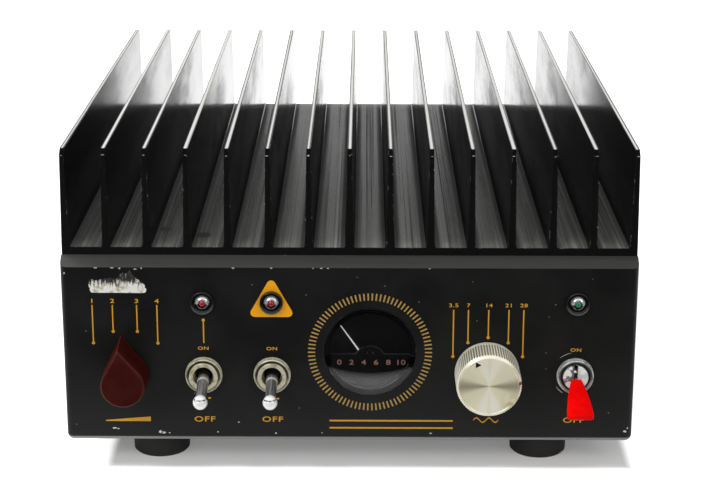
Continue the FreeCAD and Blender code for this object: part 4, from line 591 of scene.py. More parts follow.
glossy = dict(relief=0.004 * MM, Coat_Weight=0.6, Coat_Roughness=0.05)
matte = dict(scale=300.0, relief=0.002 * MM, Specular_IOR_Level=0.15)
mouldings = {
    "maroon_knob": ((0.046, 0.0050, 0.0034), (0.17, 0.085, 0.06), 0.36,
                    dict(edge=0.75, Specular_IOR_Level=0.08)),
    "red_paddle": ((0.95, 0.0008, 0.0008), (0.95, 0.02, 0.015), 0.5,
                   dict(edge=0.25, Specular_IOR_Level=0.05)),
    "rubber": ((0.011, 0.011, 0.011), (0.05, 0.05, 0.05), 0.72,
               dict(scale=1400.0, relief=0.04 * MM)),
    "black_moulding": ((0.014, 0.014, 0.014), (0.05, 0.05, 0.05), 0.48, {}),
    "white_insulator": ((0.74, 0.72, 0.66), (0.8, 0.78, 0.7), 0.42, {}),
    "wafer_board": ((0.33, 0.19, 0.085), (0.5, 0.33, 0.18), 0.5, {}),
    "circuit_board": ((0.05, 0.16, 0.065), (0.3, 0.35, 0.2), 0.35, {}),
    "ceramic": ((0.74, 0.72, 0.68), (0.8, 0.78, 0.74), 0.38, {}),
    "ferrite": ((0.06, 0.06, 0.064), (0.16, 0.16, 0.16), 0.55, {}),
    "toroid": ((0.42, 0.10, 0.05), (0.6, 0.3, 0.12), 0.4, {}),
    "relay_cover": ((0.04, 0.06, 0.18), (0.15, 0.2, 0.35), 0.3, {}),
    "can": ((0.035, 0.05, 0.14), (0.2, 0.25, 0.35), 0.35, {}),
    "dial_black": ((0.0058, 0.0060, 0.0060), (0.012, 0.012, 0.012), 0.6, dict(edge=0.4, **matte)),
    "needle_white": ((0.95, 0.95, 0.93), (0.95, 0.95, 0.93), 0.4,
                     dict(Emission_Color=rgb(0.9, 0.9, 0.87), Emission_Strength=0.45)),
    "red_lens": ((0.36, 0.004, 0.010), (0.5, 0.02, 0.02), 0.16, glossy),
    "green_lens": ((0.006, 0.19, 0.09), (0.02, 0.25, 0.12), 0.16, glossy)}
for name, (colour, rubbed_and_lit, roughness, more) in mouldings.items():
    finishes[name] = moulded(name, colour, rubbed_and_lit, roughness, **more)
print("finishes", len(finishes))

# %% [markdown]
# The meter's lens is clear acrylic. Transmission stays one plain number; only the polish varies,
# with the hairline scratches of many wipings.

# %% Clear acrylic
material, tree, shader = finish("clear_lens", (0.97, 0.98, 0.975), 0.02, IOR=1.49,
                                Transmission_Weight=1.0)
wiped = drawn(tree, (2600.0, 60.0, 240.0), 2.0)
fill(tree, shader, "Roughness", ease(tree, wiped, 0.62, 0.75, 0.015, 0.09))
finishes["clear_lens"] = material
print("finish", material.name)

# %% [markdown]
# ## Finishes that change with the radius
# Some parts are one solid with two or three looks, so their finish follows the distance from an
# axis. A lamp's bezel is a black collar round a polished cup. The cup is painted dark in its lower
# half, a painted reflection of the table, and the collar's lower lip is painted lighter, a painted
# highlight.

# %% Lamp bezels


def radius_from(tree, *axes):
    """Distance from the nearest of some axes along Y, each given as (x, z)."""
    return least(tree, *[use(tree, rings, Centre=(x, 0.0, z))["Radius"] for x, z in axes])


material, tree, shader = finish("lamp_bezel", (0.8, 0.8, 0.8), 0.1, 1.0)
radius = radius_from(tree, (rx_x, lamp_z), (mode_x, lamp_z), (power_x, lamp_z))
height = place_on(tree)[2]
cup = ease(tree, radius, 3.0 * MM, 2.8 * MM)
smudge = ease(tree, mottle(tree, 700.0), 0.35, 0.65, 0.75, 1.0)
# Painted reflection: the cup darker in its lower half. Painted highlight: the collar's lower lip.
shade = times(tree, smudge, ease(tree, height, lamp_z - 0.9 * MM, lamp_z + 0.4 * MM, 0.12, 1.0))
lip_highlight = times(tree, ease(tree, radius, 3.6 * MM, 3.9 * MM),
            ease(tree, height, lamp_z, lamp_z - 3 * MM))
collar = layers(tree, rgb(0.006, 0.006, 0.006), (lip_highlight, (0.11, 0.11, 0.11)))
chrome = scaled(tree, (0.88, 0.88, 0.87), shade)
fill(tree, shader, "Base Color", tint(tree, cup, collar, chrome))
fill(tree, shader, "Metallic", times(tree, cup, ease(tree, shade, 0.1, 0.9, 1.0, 0.55)))
fill(tree, shader, "Roughness", ease(tree, cup, 0.0, 1.0, 0.4, 0.16))
own_finish = {"lamp_bezels": material}
print("finish", material.name)

# %% [markdown]
# A toggle's bushing shows a cream ring of aged nickel round a dark mouth. The gap between the
# bushing and its nut is a shadow, deepest at the top. It is too narrow for soft light, so paint
# helps it.

# %% Toggle bushings
toggles = ((rx_x, switch_z), (mode_x, switch_z))
material, tree, shader = finish("toggle_bushing", (0.74, 0.70, 0.57), 0.3, 1.0)
radius, height = radius_from(tree, *toggles), place_on(tree)[2]
patches = mottle(tree, 420.0, 5.0)
shadow = ease(tree, height, switch_z - 3 * MM, switch_z + 1 * MM, 0.3, 0.9)
rim = times(tree, ease(tree, radius, 5.6 * MM, 5.8 * MM), shadow)
cream = layers(tree, rgb(0.84, 0.79, 0.58), (ease(tree, patches, 0.46, 0.72), (0.40, 0.34, 0.19)),
               (rim, (0.03, 0.03, 0.024)))
face_ring = ease(tree, radius, 3.45 * MM, 3.65 * MM)
fill(tree, shader, "Base Color", tint(tree, face_ring, rgb(0.02, 0.02, 0.018), cream))
fill(tree, shader, "Metallic", times(tree, face_ring, 0.45))
fill(tree, shader, "Roughness", ease(tree, patches, 0.3, 0.7, 0.34, 0.5))
emboss(tree, shader, patches, 0.01 * MM, 0.3)
own_finish.update(rx_switch_bushing=material, mode_switch_bushing=material)
print("finish", material.name)

# %% [markdown]
# The power toggle's bushing has a chromed face. Round it the thread and its step are painted near
# black, a painted shadow of the groove there. The chrome is given little metal and a near-white
# colour, a painted reflection of the bright room. Chrome on brass wears in patches, here mostly at
# the left of the slot.

# %% Power bushing
material, tree, shader = finish("power_bushing", (0.8, 0.8, 0.8), 0.12, 1.0)
disc = ease(tree, radius_from(tree, (power_x, switch_z)), 5.1 * MM, 4.96 * MM)
patches = mottle(tree, 330.0, 2.0)
leftward = ease(tree, place_on(tree)[0], power_x + 1.8 * MM, power_x - 1.2 * MM)
worn = times(tree, ease(tree, patches, 0.46, 0.52), ease(tree, leftward, 0.0, 1.0, 0.3, 1.0))
chrome = tint(tree, worn, rgb(0.95, 1.0, 1.0), rgb(0.16, 0.17, 0.17))
# Near black round the chrome disc: a painted shadow. Near-white chrome: a painted reflection.
fill(tree, shader, "Base Color", tint(tree, disc, rgb(0.03, 0.03, 0.03), chrome))
fill(tree, shader, "Metallic", ease(tree, disc, 0.0, 1.0, 0.3, 0.1))
fill(tree, shader, "Roughness", ease(tree, patches, 0.3, 0.7, 0.2, 0.34))
own_finish["power_switch_bushing"] = material
print("finish", material.name)

# %% [markdown]
# A bat handle is satin on its stem and polished at its ball. Here the place along Y decides, which
# serves both levers at once. A pale band where the stem leaves the mouth is a painted highlight, and
# the stem deep in the mouth is painted near black, a painted shadow. The polished ball is painted
# nearly white, a painted reflection of the bright room, and a thin dark line across its top is a
# painted reflection of the horizon that polished metal mirrors.

# %% Bat levers
material, tree, shader = finish("bat_lever", (0.6, 0.6, 0.6), 0.3, 1.0)
along, tilt = place_on(tree)[1], facing_of(tree)[2]
tip = ease(tree, along, face - 16.8 * MM, face - 17.2 * MM)
# Painted highlight at the shoulder; painted shadow deep in the mouth.
shoulder_highlight = window(tree, along, face - 4.6 * MM, face - 5.1 * MM, face - 5.9 * MM, face - 6.4 * MM)
mouth_shadow = ease(tree, along, face - 3.6 * MM, face - 2.4 * MM)
stem = layers(tree, rgb(0.08, 0.08, 0.085),
              (ease(tree, drawn(tree, (1900.0, 60.0, 60.0)), 0.38, 0.62), (0.30, 0.30, 0.31)),
              (shoulder_highlight, (0.72, 0.70, 0.62)), (mouth_shadow, (0.012, 0.012, 0.012)))
# Painted reflection of the horizon across the ball.
horizon_reflection = times(tree, window(tree, tilt, 0.44, 0.49, 0.58, 0.63),
                ease(tree, mottle(tree, 1500.0), 0.4, 0.5))
# The ball painted nearly white: a painted reflection.
ball = tint(tree, horizon_reflection, rgb(0.98, 0.98, 0.98), rgb(0.02, 0.02, 0.02))
fill(tree, shader, "Base Color", tint(tree, tip, stem, ball))
fill(tree, shader, "Metallic", ease(tree, tip, 0.0, 1.0, 0.45, 0.15))
fill(tree, shader, "Roughness", ease(tree, tip, 0.0, 1.0, 0.42, 0.12))
own_finish.update(rx_switch_lever=material, mode_switch_lever=material)
print("finish", material.name)

# %% [markdown]
# The nuts and washers of all three toggles share their solids, but the two left ones have aged to
# cream and the right one is still silver. The column decides which. The gap between the rings is
# painted dark, a painted shadow as on the bushings, and the rims are painted lighter, a painted
# highlight.

# %% Nuts and washers
material, tree, shader = finish("toggle_hardware", (0.7, 0.66, 0.5), 0.32, 1.0)
place, patches = place_on(tree), mottle(tree, 300.0, 5.0)
radius = radius_from(tree, *toggles, (power_x, switch_z))
aged = tint(tree, ease(tree, patches, 0.45, 0.72), rgb(0.80, 0.75, 0.56), rgb(0.28, 0.24, 0.13))
silver = tint(tree, ease(tree, patches, 0.4, 0.65), rgb(0.74, 0.76, 0.75), rgb(0.28, 0.29, 0.29))
to_right = ease(tree, place[0], power_x - 12 * MM, power_x - 10 * MM)
# Rims painted lighter: painted highlights.
rim_highlights = use(tree, wear, Radius=0.5 * MM, Scale=900.0, Amount=0.6)["Edge"]
# The gap between the rings: a painted shadow.
gap = times(tree, window(tree, radius, 5.9 * MM, 6.0 * MM, 6.6 * MM, 7.0 * MM),
            ease(tree, place[2], switch_z - 3 * MM, switch_z + 1 * MM, 0.35, 0.9))
plating = layers(tree, tint(tree, to_right, aged, silver),
                 (times(tree, rim_highlights, 0.6), (0.88, 0.87, 0.80)), (gap, (0.02, 0.02, 0.016)))
fill(tree, shader, "Base Color", plating)
fill(tree, shader, "Metallic", ease(tree, patches, 0.3, 0.7, 0.5, 0.35))
fill(tree, shader, "Roughness", ease(tree, patches, 0.3, 0.7, 0.30, 0.46))
emboss(tree, shader, patches, 0.01 * MM, 0.3)
own_finish.update(panel_nuts=material, switch_washers=material)
print("finish", material.name)

# %% [markdown]
# The mask across the meter is matte black like the dial, but its cut edge is painted as a fine light
# line, a painted highlight.

# %% Meter mask
own_finish["meter_mask"] = moulded("meter_mask", (0.0022, 0.0022, 0.0024), (0.22, 0.22, 0.21), 0.6,
                                   edge=0.9, **matte)
print("finishes of their own", sorted(own_finish))

# %% [markdown]
# ## Put the finishes on the CAD parts
# The record says which material slot each node has. The loop gives every node the finish of its
# slot, or its own one where the last steps made one.

# %% Assign
for part in frame["record"]["subparts"]:
    node = part["node"]
    nodes[node].material_slots[0].material = own_finish.get(node, finishes[part["material_slot"]])

# %% [markdown]
# ## Mesh tools
# New pieces are built from a few forms: a flat outline pressed to a thickness, a plate between two
# outlines, and a ridge wound round an axis. All write into one bmesh, so a whole print becomes one
# object.

# %% Mesh tools


def as_piece(mesh, name, material, body="case"):
    """Turns a bmesh into an object that rides on a body."""
    data = bpy.data.meshes.new(name)
    bmesh.ops.recalc_face_normals(mesh, faces=mesh.faces)
    mesh.to_mesh(data)
    mesh.free()
    data.materials.append(material)
    piece = bpy.data.objects.new(name, data)
    scene.collection.objects.link(piece)
    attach(piece, body)
    print("piece", name, "with", len(data.polygons), "faces on", body)


def in_mm(points, x=0.0, z=0.0):
    """Points given in millimetres from a place on the panel, in metres."""
    return [(x + right * MM, z + up * MM) for right, up in points]


def circle(x, z, radius, count=32):
    """Points of a circle in the panel's plane."""
    turns = [2 * math.pi * i / count for i in range(count)]
    return [(x + radius * math.cos(angle), z + radius * math.sin(angle)) for angle in turns]


def press(mesh, outline, front, back):
    """A flat closed outline of (x, z) points as a plate between two heights in Y."""
    near = [mesh.verts.new((x, front, z)) for x, z in outline]
    far = [mesh.verts.new((x, back, z)) for x, z in outline]
    mesh.faces.new(near)
    mesh.faces.new(far[::-1])
    for i in range(len(outline)):
        j = (i + 1) % len(outline)
        mesh.faces.new((near[j], near[i], far[i], far[j]))


print("mesh tools ready")

# %% [markdown]
# ## The panel's print
# The legends are silk-screened in gold ink. A picture of the print would be simplest, but real ink
# has a thickness and soft edges, so the lines, ticks and figures are thin solids that stand a few
# hundredths of a millimetre off the paint. Only plain figures and ON or OFF are set; names and
# marks are left out.

# %% Gold ink


def ink(name, colour):
    """Screen ink: slightly uneven cover, a few pinholes, a soft sheen."""
    material, tree, shader = finish(name, colour, 0.45, Specular_IOR_Level=0.2)
    cover = mottle(tree, 2200.0)
    pinholes = [c * 0.45 for c in colour]
    printed = layers(tree, rgb(*colour), (ease(tree, cover, 0.56, 0.8), pinholes))
    fill(tree, shader, "Base Color", printed)
    emboss(tree, shader, cover, 0.01 * MM, 0.4)
    return material


ink_top = face - 0.04 * MM
ink_root = face + 0.02 * MM


def stamp(mesh, outline, proud=0.0):
    """A flat shape in ink, a little prouder where two shapes overlap."""
    press(mesh, outline, ink_top - proud, ink_root)


gold_ink = ink("gold_ink", (0.68, 0.345, 0.028))
print("ink", gold_ink.name, "stands", round((face - ink_top) / MM, 2), "mm off the paint")

# %% [markdown]
# A text object is the quickest way to a good figure. Its outline is turned into a mesh, stood
# upright and added to the print, so that no text object is left in the scene.

# %% Lettering tool


def letter(mesh, text, x, z, height, wide, front=ink_top, depth=0.06 * MM):
    """Adds a short text, centred on x and z, with its front at a height in Y."""
    curve = bpy.data.curves.new("letters", "FONT")
    curve.body = text
    curve.align_x = curve.align_y = "CENTER"
    curve.extrude = 0.5
    curve.offset = 0.012
    curve.space_character = 1.12
    holder = bpy.data.objects.new("letters", curve)
    scene.collection.objects.link(holder)
    bpy.context.view_layer.update()
    shaped = holder.evaluated_get(bpy.context.evaluated_depsgraph_get())
    data = bpy.data.meshes.new_from_object(shaped)
    capital_height = 0.70
    tall = height / capital_height
    data.transform(Matrix(((tall * wide, 0, 0, x), (0, 0, -depth, front + depth / 2),
                           (0, tall, 0, z), (0, 0, 0, 1))))
    mesh.from_mesh(data)
    bpy.data.objects.remove(holder)
    bpy.data.curves.remove(curve)
    bpy.data.meshes.remove(data)


print("lettering ready")

# %% [markdown]
# Two knobs have scales: dots on a circle round the shaft, each led up by a line to its figure. The
# steps are about 30 degrees, as the switches click, and the lines of a scale end at one height so
# that its figures form a row.

# %% Knob scales
dot = 0.65 * MM


def upright_line(mesh, x, low, high):
    """A vertical rule."""
    half = 0.25 * MM
    stamp(mesh, [(x - half, low), (x + half, low), (x + half, high), (x - half, high)])


def knob_scale(mesh, marks, x, z, reach, top, height, wide):
    """Dots round a shaft, a line up from each, and figures in a row a little above top."""
    for degrees, figure, gap in marks:
        column = x + reach * math.sin(math.radians(degrees))
        foot = z + reach * math.cos(math.radians(degrees))
        upright_line(mesh, column, foot, top)
        stamp(mesh, circle(column, foot, dot, 20), 0.01 * MM)
        letter(mesh, figure, column, top + gap, height, wide)


scales = bmesh.new()
level_marks = [(degrees, str(i + 1), 1.6 * MM)
               for i, degrees in enumerate((-46.6, -15.8, 15.8, 46.6))]
band_marks = [(30 * i - 60, band, 1.8 * MM)
              for i, band in enumerate(("3.5", "7", "14", "21", "28"))]
knob_scale(scales, level_marks, level_x, level_z + 0.9 * MM, 17.6 * MM, 67.7 * MM, 1.7 * MM, 1.5)
knob_scale(scales, band_marks, band_x + 0.2 * MM, band_z - 1.4 * MM, 16.0 * MM, 66.1 * MM,
           1.5 * MM, 1.35)
as_piece(scales, "knob_scales", gold_ink)

# %% [markdown]
# The switches say ON above and OFF below. A rule with a dot ties the receive switch to its lamp,
# and a small dash at the right of each ball marks the lower place of its lever. The knobs have a
# generic mark each: a wedge that grows for the level, a wave for the band. Two thin rules stand
# where a maker would print a name.

# %% Switch legends
legends = bmesh.new()
for x, high in ((rx_x, 49.6), (mode_x, 49.5), (power_x, 49.3)):
    letter(legends, "ON", x, high * MM, 1.35 * MM, 1.4)
    letter(legends, "OFF", x, 19.3 * MM, 2.2 * MM, 1.45)
tie_x, tie_low, tie_high = rx_x + 0.25 * MM, 51.9 * MM, 61.5 * MM
upright_line(legends, tie_x, tie_low, tie_high)
stamp(legends, circle(tie_x, tie_high, dot, 20), 0.01 * MM)
stamp(legends, in_mm([(-9.0, 18.4), (9.0, 18.4), (9.0, 20.4), (-9.0, 18.9)], x=level_x))
wave_steps = 24
wave = [((i - 12) * 0.42, 19.3 + 0.95 * math.sin(math.pi * i / 6)) for i in range(wave_steps + 1)]
lower, upper = ([(x, z + shift) for x, z in wave] for shift in (-0.28, 0.28))
for i in range(wave_steps):
    stamp(legends, in_mm([lower[i], lower[i + 1], upper[i + 1], upper[i]], x=band_x))
for rule_z in (18.9 * MM, 15.8 * MM):
    stamp(legends, in_mm([(-8.0, -0.35), (41.6, -0.35), (41.6, 0.35), (-8.0, 0.35)], z=rule_z))
for x, z in in_mm([(-56.1, 28.5), (-28.8, 28.3)]):
    stamp(legends, in_mm([(-0.4, -0.3), (0.6, -0.35), (0.7, 0.3), (-0.3, 0.3)], x, z))
as_piece(legends, "switch_legends", gold_ink)

# %% [markdown]
# The ring of ticks frames the meter. Ninety ticks, four degrees apart, are the same short bar
# turned about the meter's centre. Its ink has paled with the years.

# %% Tick ring
ticks = bmesh.new()
tick_count, ring_z = 90, meter.z - 0.2 * MM
bar = [(21.8, -0.27), (24.7, -0.30), (24.7, 0.30), (21.8, 0.27)]
for i in range(tick_count):
    cos, sin = math.cos(2 * math.pi * i / tick_count), math.sin(2 * math.pi * i / tick_count)
    stamp(ticks, in_mm([(r * cos - w * sin, r * sin + w * cos) for r, w in bar], meter.x, ring_z))
as_piece(ticks, "tick_ring", ink("tick_ink", (0.46, 0.29, 0.085)))

# %% [markdown]
# A rounded amber triangle stands behind the middle lamp. Its three corners are arcs joined by
# straight sides; matching that outline to a circle, angle by angle, leaves the round hole for the
# lamp's bezel.

# %% Amber triangle


def rounded_triangle(corners, radius, count):
    """Points of a triangle with round corners, given clockwise."""
    points = []
    for i in range(3):
        before, here, after = (corners[(i + k) % 3] for k in (-1, 0, 1))
        enter = math.atan2(here[1] - before[1], here[0] - before[0])
        leave = math.atan2(after[1] - here[1], after[0] - here[0])
        turned = (enter - leave) % (2 * math.pi)
        reach = radius / math.cos(turned / 2)
        inward = (enter + leave) / 2 if enter > leave else (enter + leave) / 2 + math.pi
        core = (here[0] + reach * math.sin(inward), here[1] - reach * math.cos(inward))
        for k in range(count + 1):
            angle = enter + math.pi / 2 - turned * k / count
            points.append((core[0] + radius * math.cos(angle), core[1] + radius * math.sin(angle)))
    return points


def band_between(mesh, inner, outer, front, back):
    """A plate between two closed outlines with as many points each."""
    loops = [[mesh.verts.new((x, y, z)) for x, z in loop]
             for loop in (inner, outer) for y in (front, back)]
    inner_near, inner_far, outer_near, outer_far = loops
    for i in range(len(inner)):
        j = (i + 1) % len(inner)
        mesh.faces.new((inner_near[i], inner_near[j], outer_near[j], outer_near[i]))
        mesh.faces.new((inner_far[j], inner_far[i], outer_far[i], outer_far[j]))
        mesh.faces.new((outer_near[i], outer_near[j], outer_far[j], outer_far[i]))
        mesh.faces.new((inner_near[j], inner_near[i], inner_far[i], inner_far[j]))


def along_rays(outline, centre, count):
    """The outline's points seen from a centre in evenly spaced directions."""
    found = []
    for i in range(count):
        ray = (math.cos(2 * math.pi * i / count), math.sin(2 * math.pi * i / count))
        for a, b in zip(outline, outline[1:] + outline[:1]):
            side, gap = (b[0] - a[0], b[1] - a[1]), (a[0] - centre[0], a[1] - centre[1])
            cross = ray[0] * side[1] - ray[1] * side[0]
            share = (gap[0] * ray[1] - gap[1] * ray[0]) / cross if cross else -1
            reach = (gap[0] * side[1] - gap[1] * side[0]) / cross if cross else -1
            if reach > 0 and 0 <= share <= 1:
                found.append((centre[0] + reach * ray[0], centre[1] + reach * ray[1]))
                break
    return found


ray_count = 120
corners = in_mm([(0.0, 79.9), (9.5, 62.9), (-9.5, 62.9)], x=mode_x)
rim = along_rays(rounded_triangle(corners, 1.7 * MM, 6), (mode_x, lamp_z), ray_count)
triangle = bmesh.new()
band_between(triangle, circle(mode_x, lamp_z, 4.55 * MM, ray_count), rim, ink_top, ink_root)
as_piece(triangle, "amber_triangle", ink("amber_ink", (0.93, 0.40, 0.004)))

# %% [markdown]
# The panel has had a hard life: chips along the crease and the lower edge where the metal shows.
# Shader noise would scatter them evenly, so the ones that catch the eye are thin irregular flakes
# put where they belong, each with its own ragged outline from a seeded generator.

# %% Chips in the paint


def flake(mesh, x, z, width, height, dice, front):
    """A thin plate with a ragged outline."""
    corners, points = 9, []
    for i in range(corners):
        angle = 2 * math.pi * i / corners
        reach = dice.uniform(0.45, 1.0)
        points.append((x + width / 2 * reach * math.cos(angle),
                       z + height / 2 * reach * math.sin(angle)))
    press(mesh, points, front, front + 0.04 * MM)


def flakes(name, places, material):
    """One piece from (x, z, width, height) rows in millimetres on the panel's face."""
    dice = random.Random(name)
    mesh = bmesh.new()
    for x, z, width, height in places:
        flake(mesh, x * MM, z * MM, width * MM, height * MM, dice, face - 0.02 * MM)
    as_piece(mesh, name, material)


bare_metal = plated("bare_metal", (0.66, 0.66, 0.63), (0.4, 0.4, 0.37), 0.4, 0.1, 900.0)
bare_metal.node_tree.nodes["Principled BSDF"].inputs["Metallic"].default_value = 0.4
crease_chips = [(-99.7, 83.1, 1.6, 0.7), (-93.1, 83.1, 2.0, 0.8), (-90.3, 82.9, 1.3, 0.9),
                (-84.2, 82.6, 1.8, 0.7), (-81.7, 83.0, 1.0, 0.8), (-45.6, 83.1, 1.5, 0.7),
                (-30.7, 83.1, 1.6, 0.7), (-14.3, 83.1, 1.0, 0.6), (-11.1, 83.1, 1.7, 0.6),
                (-8.4, 83.1, 1.1, 0.7), (-112.0, 80.9, 0.9, 1.4), (31.5, 83.1, 1.0, 0.5)]
edge_chips = [(-94.4, 15.4, 1.9, 0.9), (-92.9, 15.1, 1.2, 0.6), (-76.0, 13.9, 1.8, 1.5),
              (-74.5, 13.5, 2.3, 1.1), (-72.4, 13.4, 1.1, 0.7), (-52.9, 13.9, 0.8, 0.7),
              (-44.4, 18.1, 1.0, 0.7), (-29.6, 13.4, 0.9, 0.7), (-11.0, 13.6, 0.8, 0.6),
              (32.7, 13.5, 1.3, 0.7), (110.9, 14.6, 1.8, 1.2), (111.8, 16.0, 0.8, 1.0)]
flakes("paint_chips", crease_chips + edge_chips, bare_metal)

# %% [markdown]
# The washer of the power toggle has turned under its nut and scraped two arcs into the paint. A
# scrape swells from nothing and fades again, so the arc's half width follows half a sine wave.

# %% Scrape round the power toggle
scrape = bmesh.new()
for low, high, reach in ((99, 131, 9.65), (213, 238, 8.8)):
    steps = 24
    arc = [math.radians(low + (high - low) * i / steps) for i in range(steps + 1)]
    half = [0.03 + 0.08 * math.sin(math.pi * i / steps) for i in range(steps + 1)]
    inner, outer = ([((reach + sign * h) * math.cos(a), (reach + sign * h) * math.sin(a))
                     for a, h in zip(arc, half)] for sign in (-1, 1))
    press(scrape, in_mm(inner + outer[::-1], power_x, switch_z), face - 0.02 * MM, face + 0.02 * MM)
as_piece(scrape, "washer_scrape", bare_metal)

# %% [markdown]
# The front corner of every fin has been knocked at some time. Each gets one small nick, and the
# seventh, which took a harder blow, a taller one.

# %% Nicks at the fins' ends
dice = random.Random("nicks")
nicks = bmesh.new()
fin_count, hard_blow = 15, 6
for i in range(fin_count):
    height = 0.9 * MM if i == hard_blow else dice.uniform(0.25, 0.5) * MM
    x = (i - fin_count // 2) * fin_pitch + dice.uniform(-0.2, 0.2) * MM
    z = sink_high.z - dice.uniform(2.1, 2.5) * MM
    flake(nicks, x, z, dice.uniform(0.9, 1.7) * MM, height, dice, sink_low.y - 0.02 * MM)
as_piece(nicks, "fin_nicks", bare_metal)

# %% [markdown]
# Flecks of dust are the same flakes, pale and all of a size.

# %% Dust
dust_places = [(-104.4, 56.8), (-38.3, 76.2), (-17.1, 72.1), (14.0, 75.9), (27.4, 69.3),
               (48.5, 77.7), (50.4, 61.5), (78.8, 63.2), (78.1, 48.1), (78.3, 41.3),
               (81.4, 68.3), (-109.8, 17.0), (-20.0, 24.3), (-86.0, 77.5), (95.5, 79.0),
               (3.0, 79.5), (-62.0, 30.5), (104.0, 22.5)]
flakes("dust_flecks", [(x, z, 0.75, 0.5) for x, z in dust_places],
       moulded("dust", (0.20, 0.20, 0.18), (0.3, 0.3, 0.28), 0.8))

# %% [markdown]
# A paper label was torn off above the level knob. What is left is a strip with a straight lower
# edge and a ragged, furry upper one: paper splits in its thickness as it is pulled away. First its
# finish: the paper fades to the panel's black where it is thinnest, mostly towards the top.

# %% Torn paper
material, tree, shader = finish("torn_paper", (0.8, 0.79, 0.74), 0.85)
fibres, blotch = drawn(tree, (1300.0, 200.0, 260.0), 4.0), mottle(tree, 420.0, 4.0)
thinning = plus(tree, ease(tree, place_on(tree)[2], 73.5 * MM, 79.5 * MM, 0.0, 0.34),
                ease(tree, fibres, 0.3, 0.7, 0.0, 0.3), times(tree, blotch, 0.5))
paper = layers(tree, rgb(0.83, 0.82, 0.77), (ease(tree, blotch, 0.45, 0.7), (0.50, 0.44, 0.28)),
               (ease(tree, thinning, 0.46, 0.72), (0.022, 0.021, 0.017)))
fill(tree, shader, "Base Color", paper)
emboss(tree, shader, fibres, 0.06 * MM, 0.6)
print("finish", material.name)

# %% [markdown]
# Then its outline, in millimetres on the panel. The tear is walked from right to left in short
# steps, and each step strays a little, as fibres do.

# %% Torn label
low_edge = [(-101.9, 73.1), (-101.2, 72.8), (-81.0, 72.75), (-80.2, 73.1)]
tear = [(-79.9, 74.2), (-80.5, 75.8), (-82.6, 78.0), (-84.8, 79.8), (-86.3, 82.1), (-88.0, 80.4),
        (-89.1, 81.2), (-91.4, 78.6), (-94.7, 78.9), (-99.2, 78.0), (-102.2, 78.6), (-102.5, 75.5)]
dice = random.Random(7)
outline, steps = list(low_edge), 7
for a, b in zip(tear, tear[1:] + low_edge[:1]):
    for i in range(steps):
        share, stray = i / steps, 0.28 if i else 0.0
        outline.append((a[0] + (b[0] - a[0]) * share + dice.uniform(-stray, stray),
                        a[1] + (b[1] - a[1]) * share + dice.uniform(-stray, stray)))
label = bmesh.new()
press(label, in_mm(outline), face - 0.06 * MM, ink_root)
as_piece(label, "torn_label", material)

# %% [markdown]
# The band knob has a small black triangle painted on its face. It rides on the knob, so it turns
# with it.

# %% Knob pointer
pointer = bmesh.new()
press(pointer, in_mm([(49.35, 49.95), (49.4, 47.5), (51.55, 48.75)]),
      knob_low.y + 0.30 * MM, knob_low.y + 0.40 * MM)
as_piece(pointer, "knob_pointer", ink("black_ink", (0.006, 0.006, 0.006)), "band_control")

# %% [markdown]
# A screened row of figures from 0 to 10 runs across the meter's mask, in a faded pink.

# %% Meter row
row = bmesh.new()
row_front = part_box("meter_mask")[0].y - 0.03 * MM
for i in range(6):
    letter(row, str(2 * i), meter.x - 12.0 * MM + i * 4.8 * MM, 41.5 * MM, 2.0 * MM, 1.3,
           row_front, 0.04 * MM)
as_piece(row, "meter_row", ink("row_ink", (0.85, 0.44, 0.34)))

# %% [markdown]
# ## Threads at the back
# The sockets' barrels and the terminal studs are threaded on the real thing, so that a plug's ring
# or a nut can be run onto them. In the CAD model they are plain cylinders, which keeps fits
# simple. A thread is a small triangle wound round the axis; it stands on the plain cylinder and
# rides with it.

# %% Socket threads


def thread(mesh, x, z, radius, rise, start, stop, pitch, steps=32):
    """A helical ridge round an axis along Y, from one height to another."""
    count = int(((stop - start) / pitch - 1) * steps)
    last = None
    for i in range(count + 1):
        angle = 2 * math.pi * i / steps
        height = start + pitch / 2 + pitch * i / steps
        here = [mesh.verts.new((x + r * math.cos(angle), height + d, z + r * math.sin(angle)))
                for r, d in ((radius, -0.46 * pitch), (radius + rise, 0.0), (radius, 0.46 * pitch))]
        if last:
            for j in range(3):
                k = (j + 1) % 3
                mesh.faces.new((last[j], last[k], here[k], here[j]))
        else:
            mesh.faces.new(here)
        last = here
    mesh.faces.new(last[::-1])


rear = sink_high.y
barrels = bmesh.new()
for name in ("antenna_socket", "input_socket"):
    thread(barrels, middle(name).x, middle(name).z, 7.90 * MM, 0.30 * MM, rear + 2.2 * MM,
           rear + 14.4 * MM, 1.06 * MM, 48)
as_piece(barrels, "socket_threads", finishes["bright_nickel"])

# %% [markdown]
# The two power studs have a metric thread of 6 mm, the ground stud one of 4 mm. All three are
# solids of one node, so their axes are found from that node's box.

# %% Stud threads
stud_low, stud_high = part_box("terminal_studs")
stud_gap = 30 * MM
posts = bmesh.new()
for x in (stud_low.x + 3 * MM, stud_low.x + 3 * MM + stud_gap):
    thread(posts, x, stud_high.z - 3 * MM, 2.97 * MM, 0.24 * MM, rear + 16.1 * MM, rear + 21.3 * MM,
           1.0 * MM)
thread(posts, stud_high.x - 2 * MM, stud_low.z + 1.99 * MM, 1.97 * MM, 0.2 * MM, rear + 10.8 * MM,
       rear + 15.5 * MM, 0.7 * MM)
as_piece(posts, "stud_threads", nodes["terminal_studs"].material_slots[0].material)

# %% [markdown]
# ## Studio
# A plain pale floor, a white room and soft lamps. The floor's own colour is a light grey that
# takes the shadow; to the camera and in reflections it also shows a little light of its own
# outside the object's footprint, which lifts it to white and lights nothing. In reflections it
# ends about six centimetres in front of the object, as a table does, so the black panel mirrors
# the dark room.

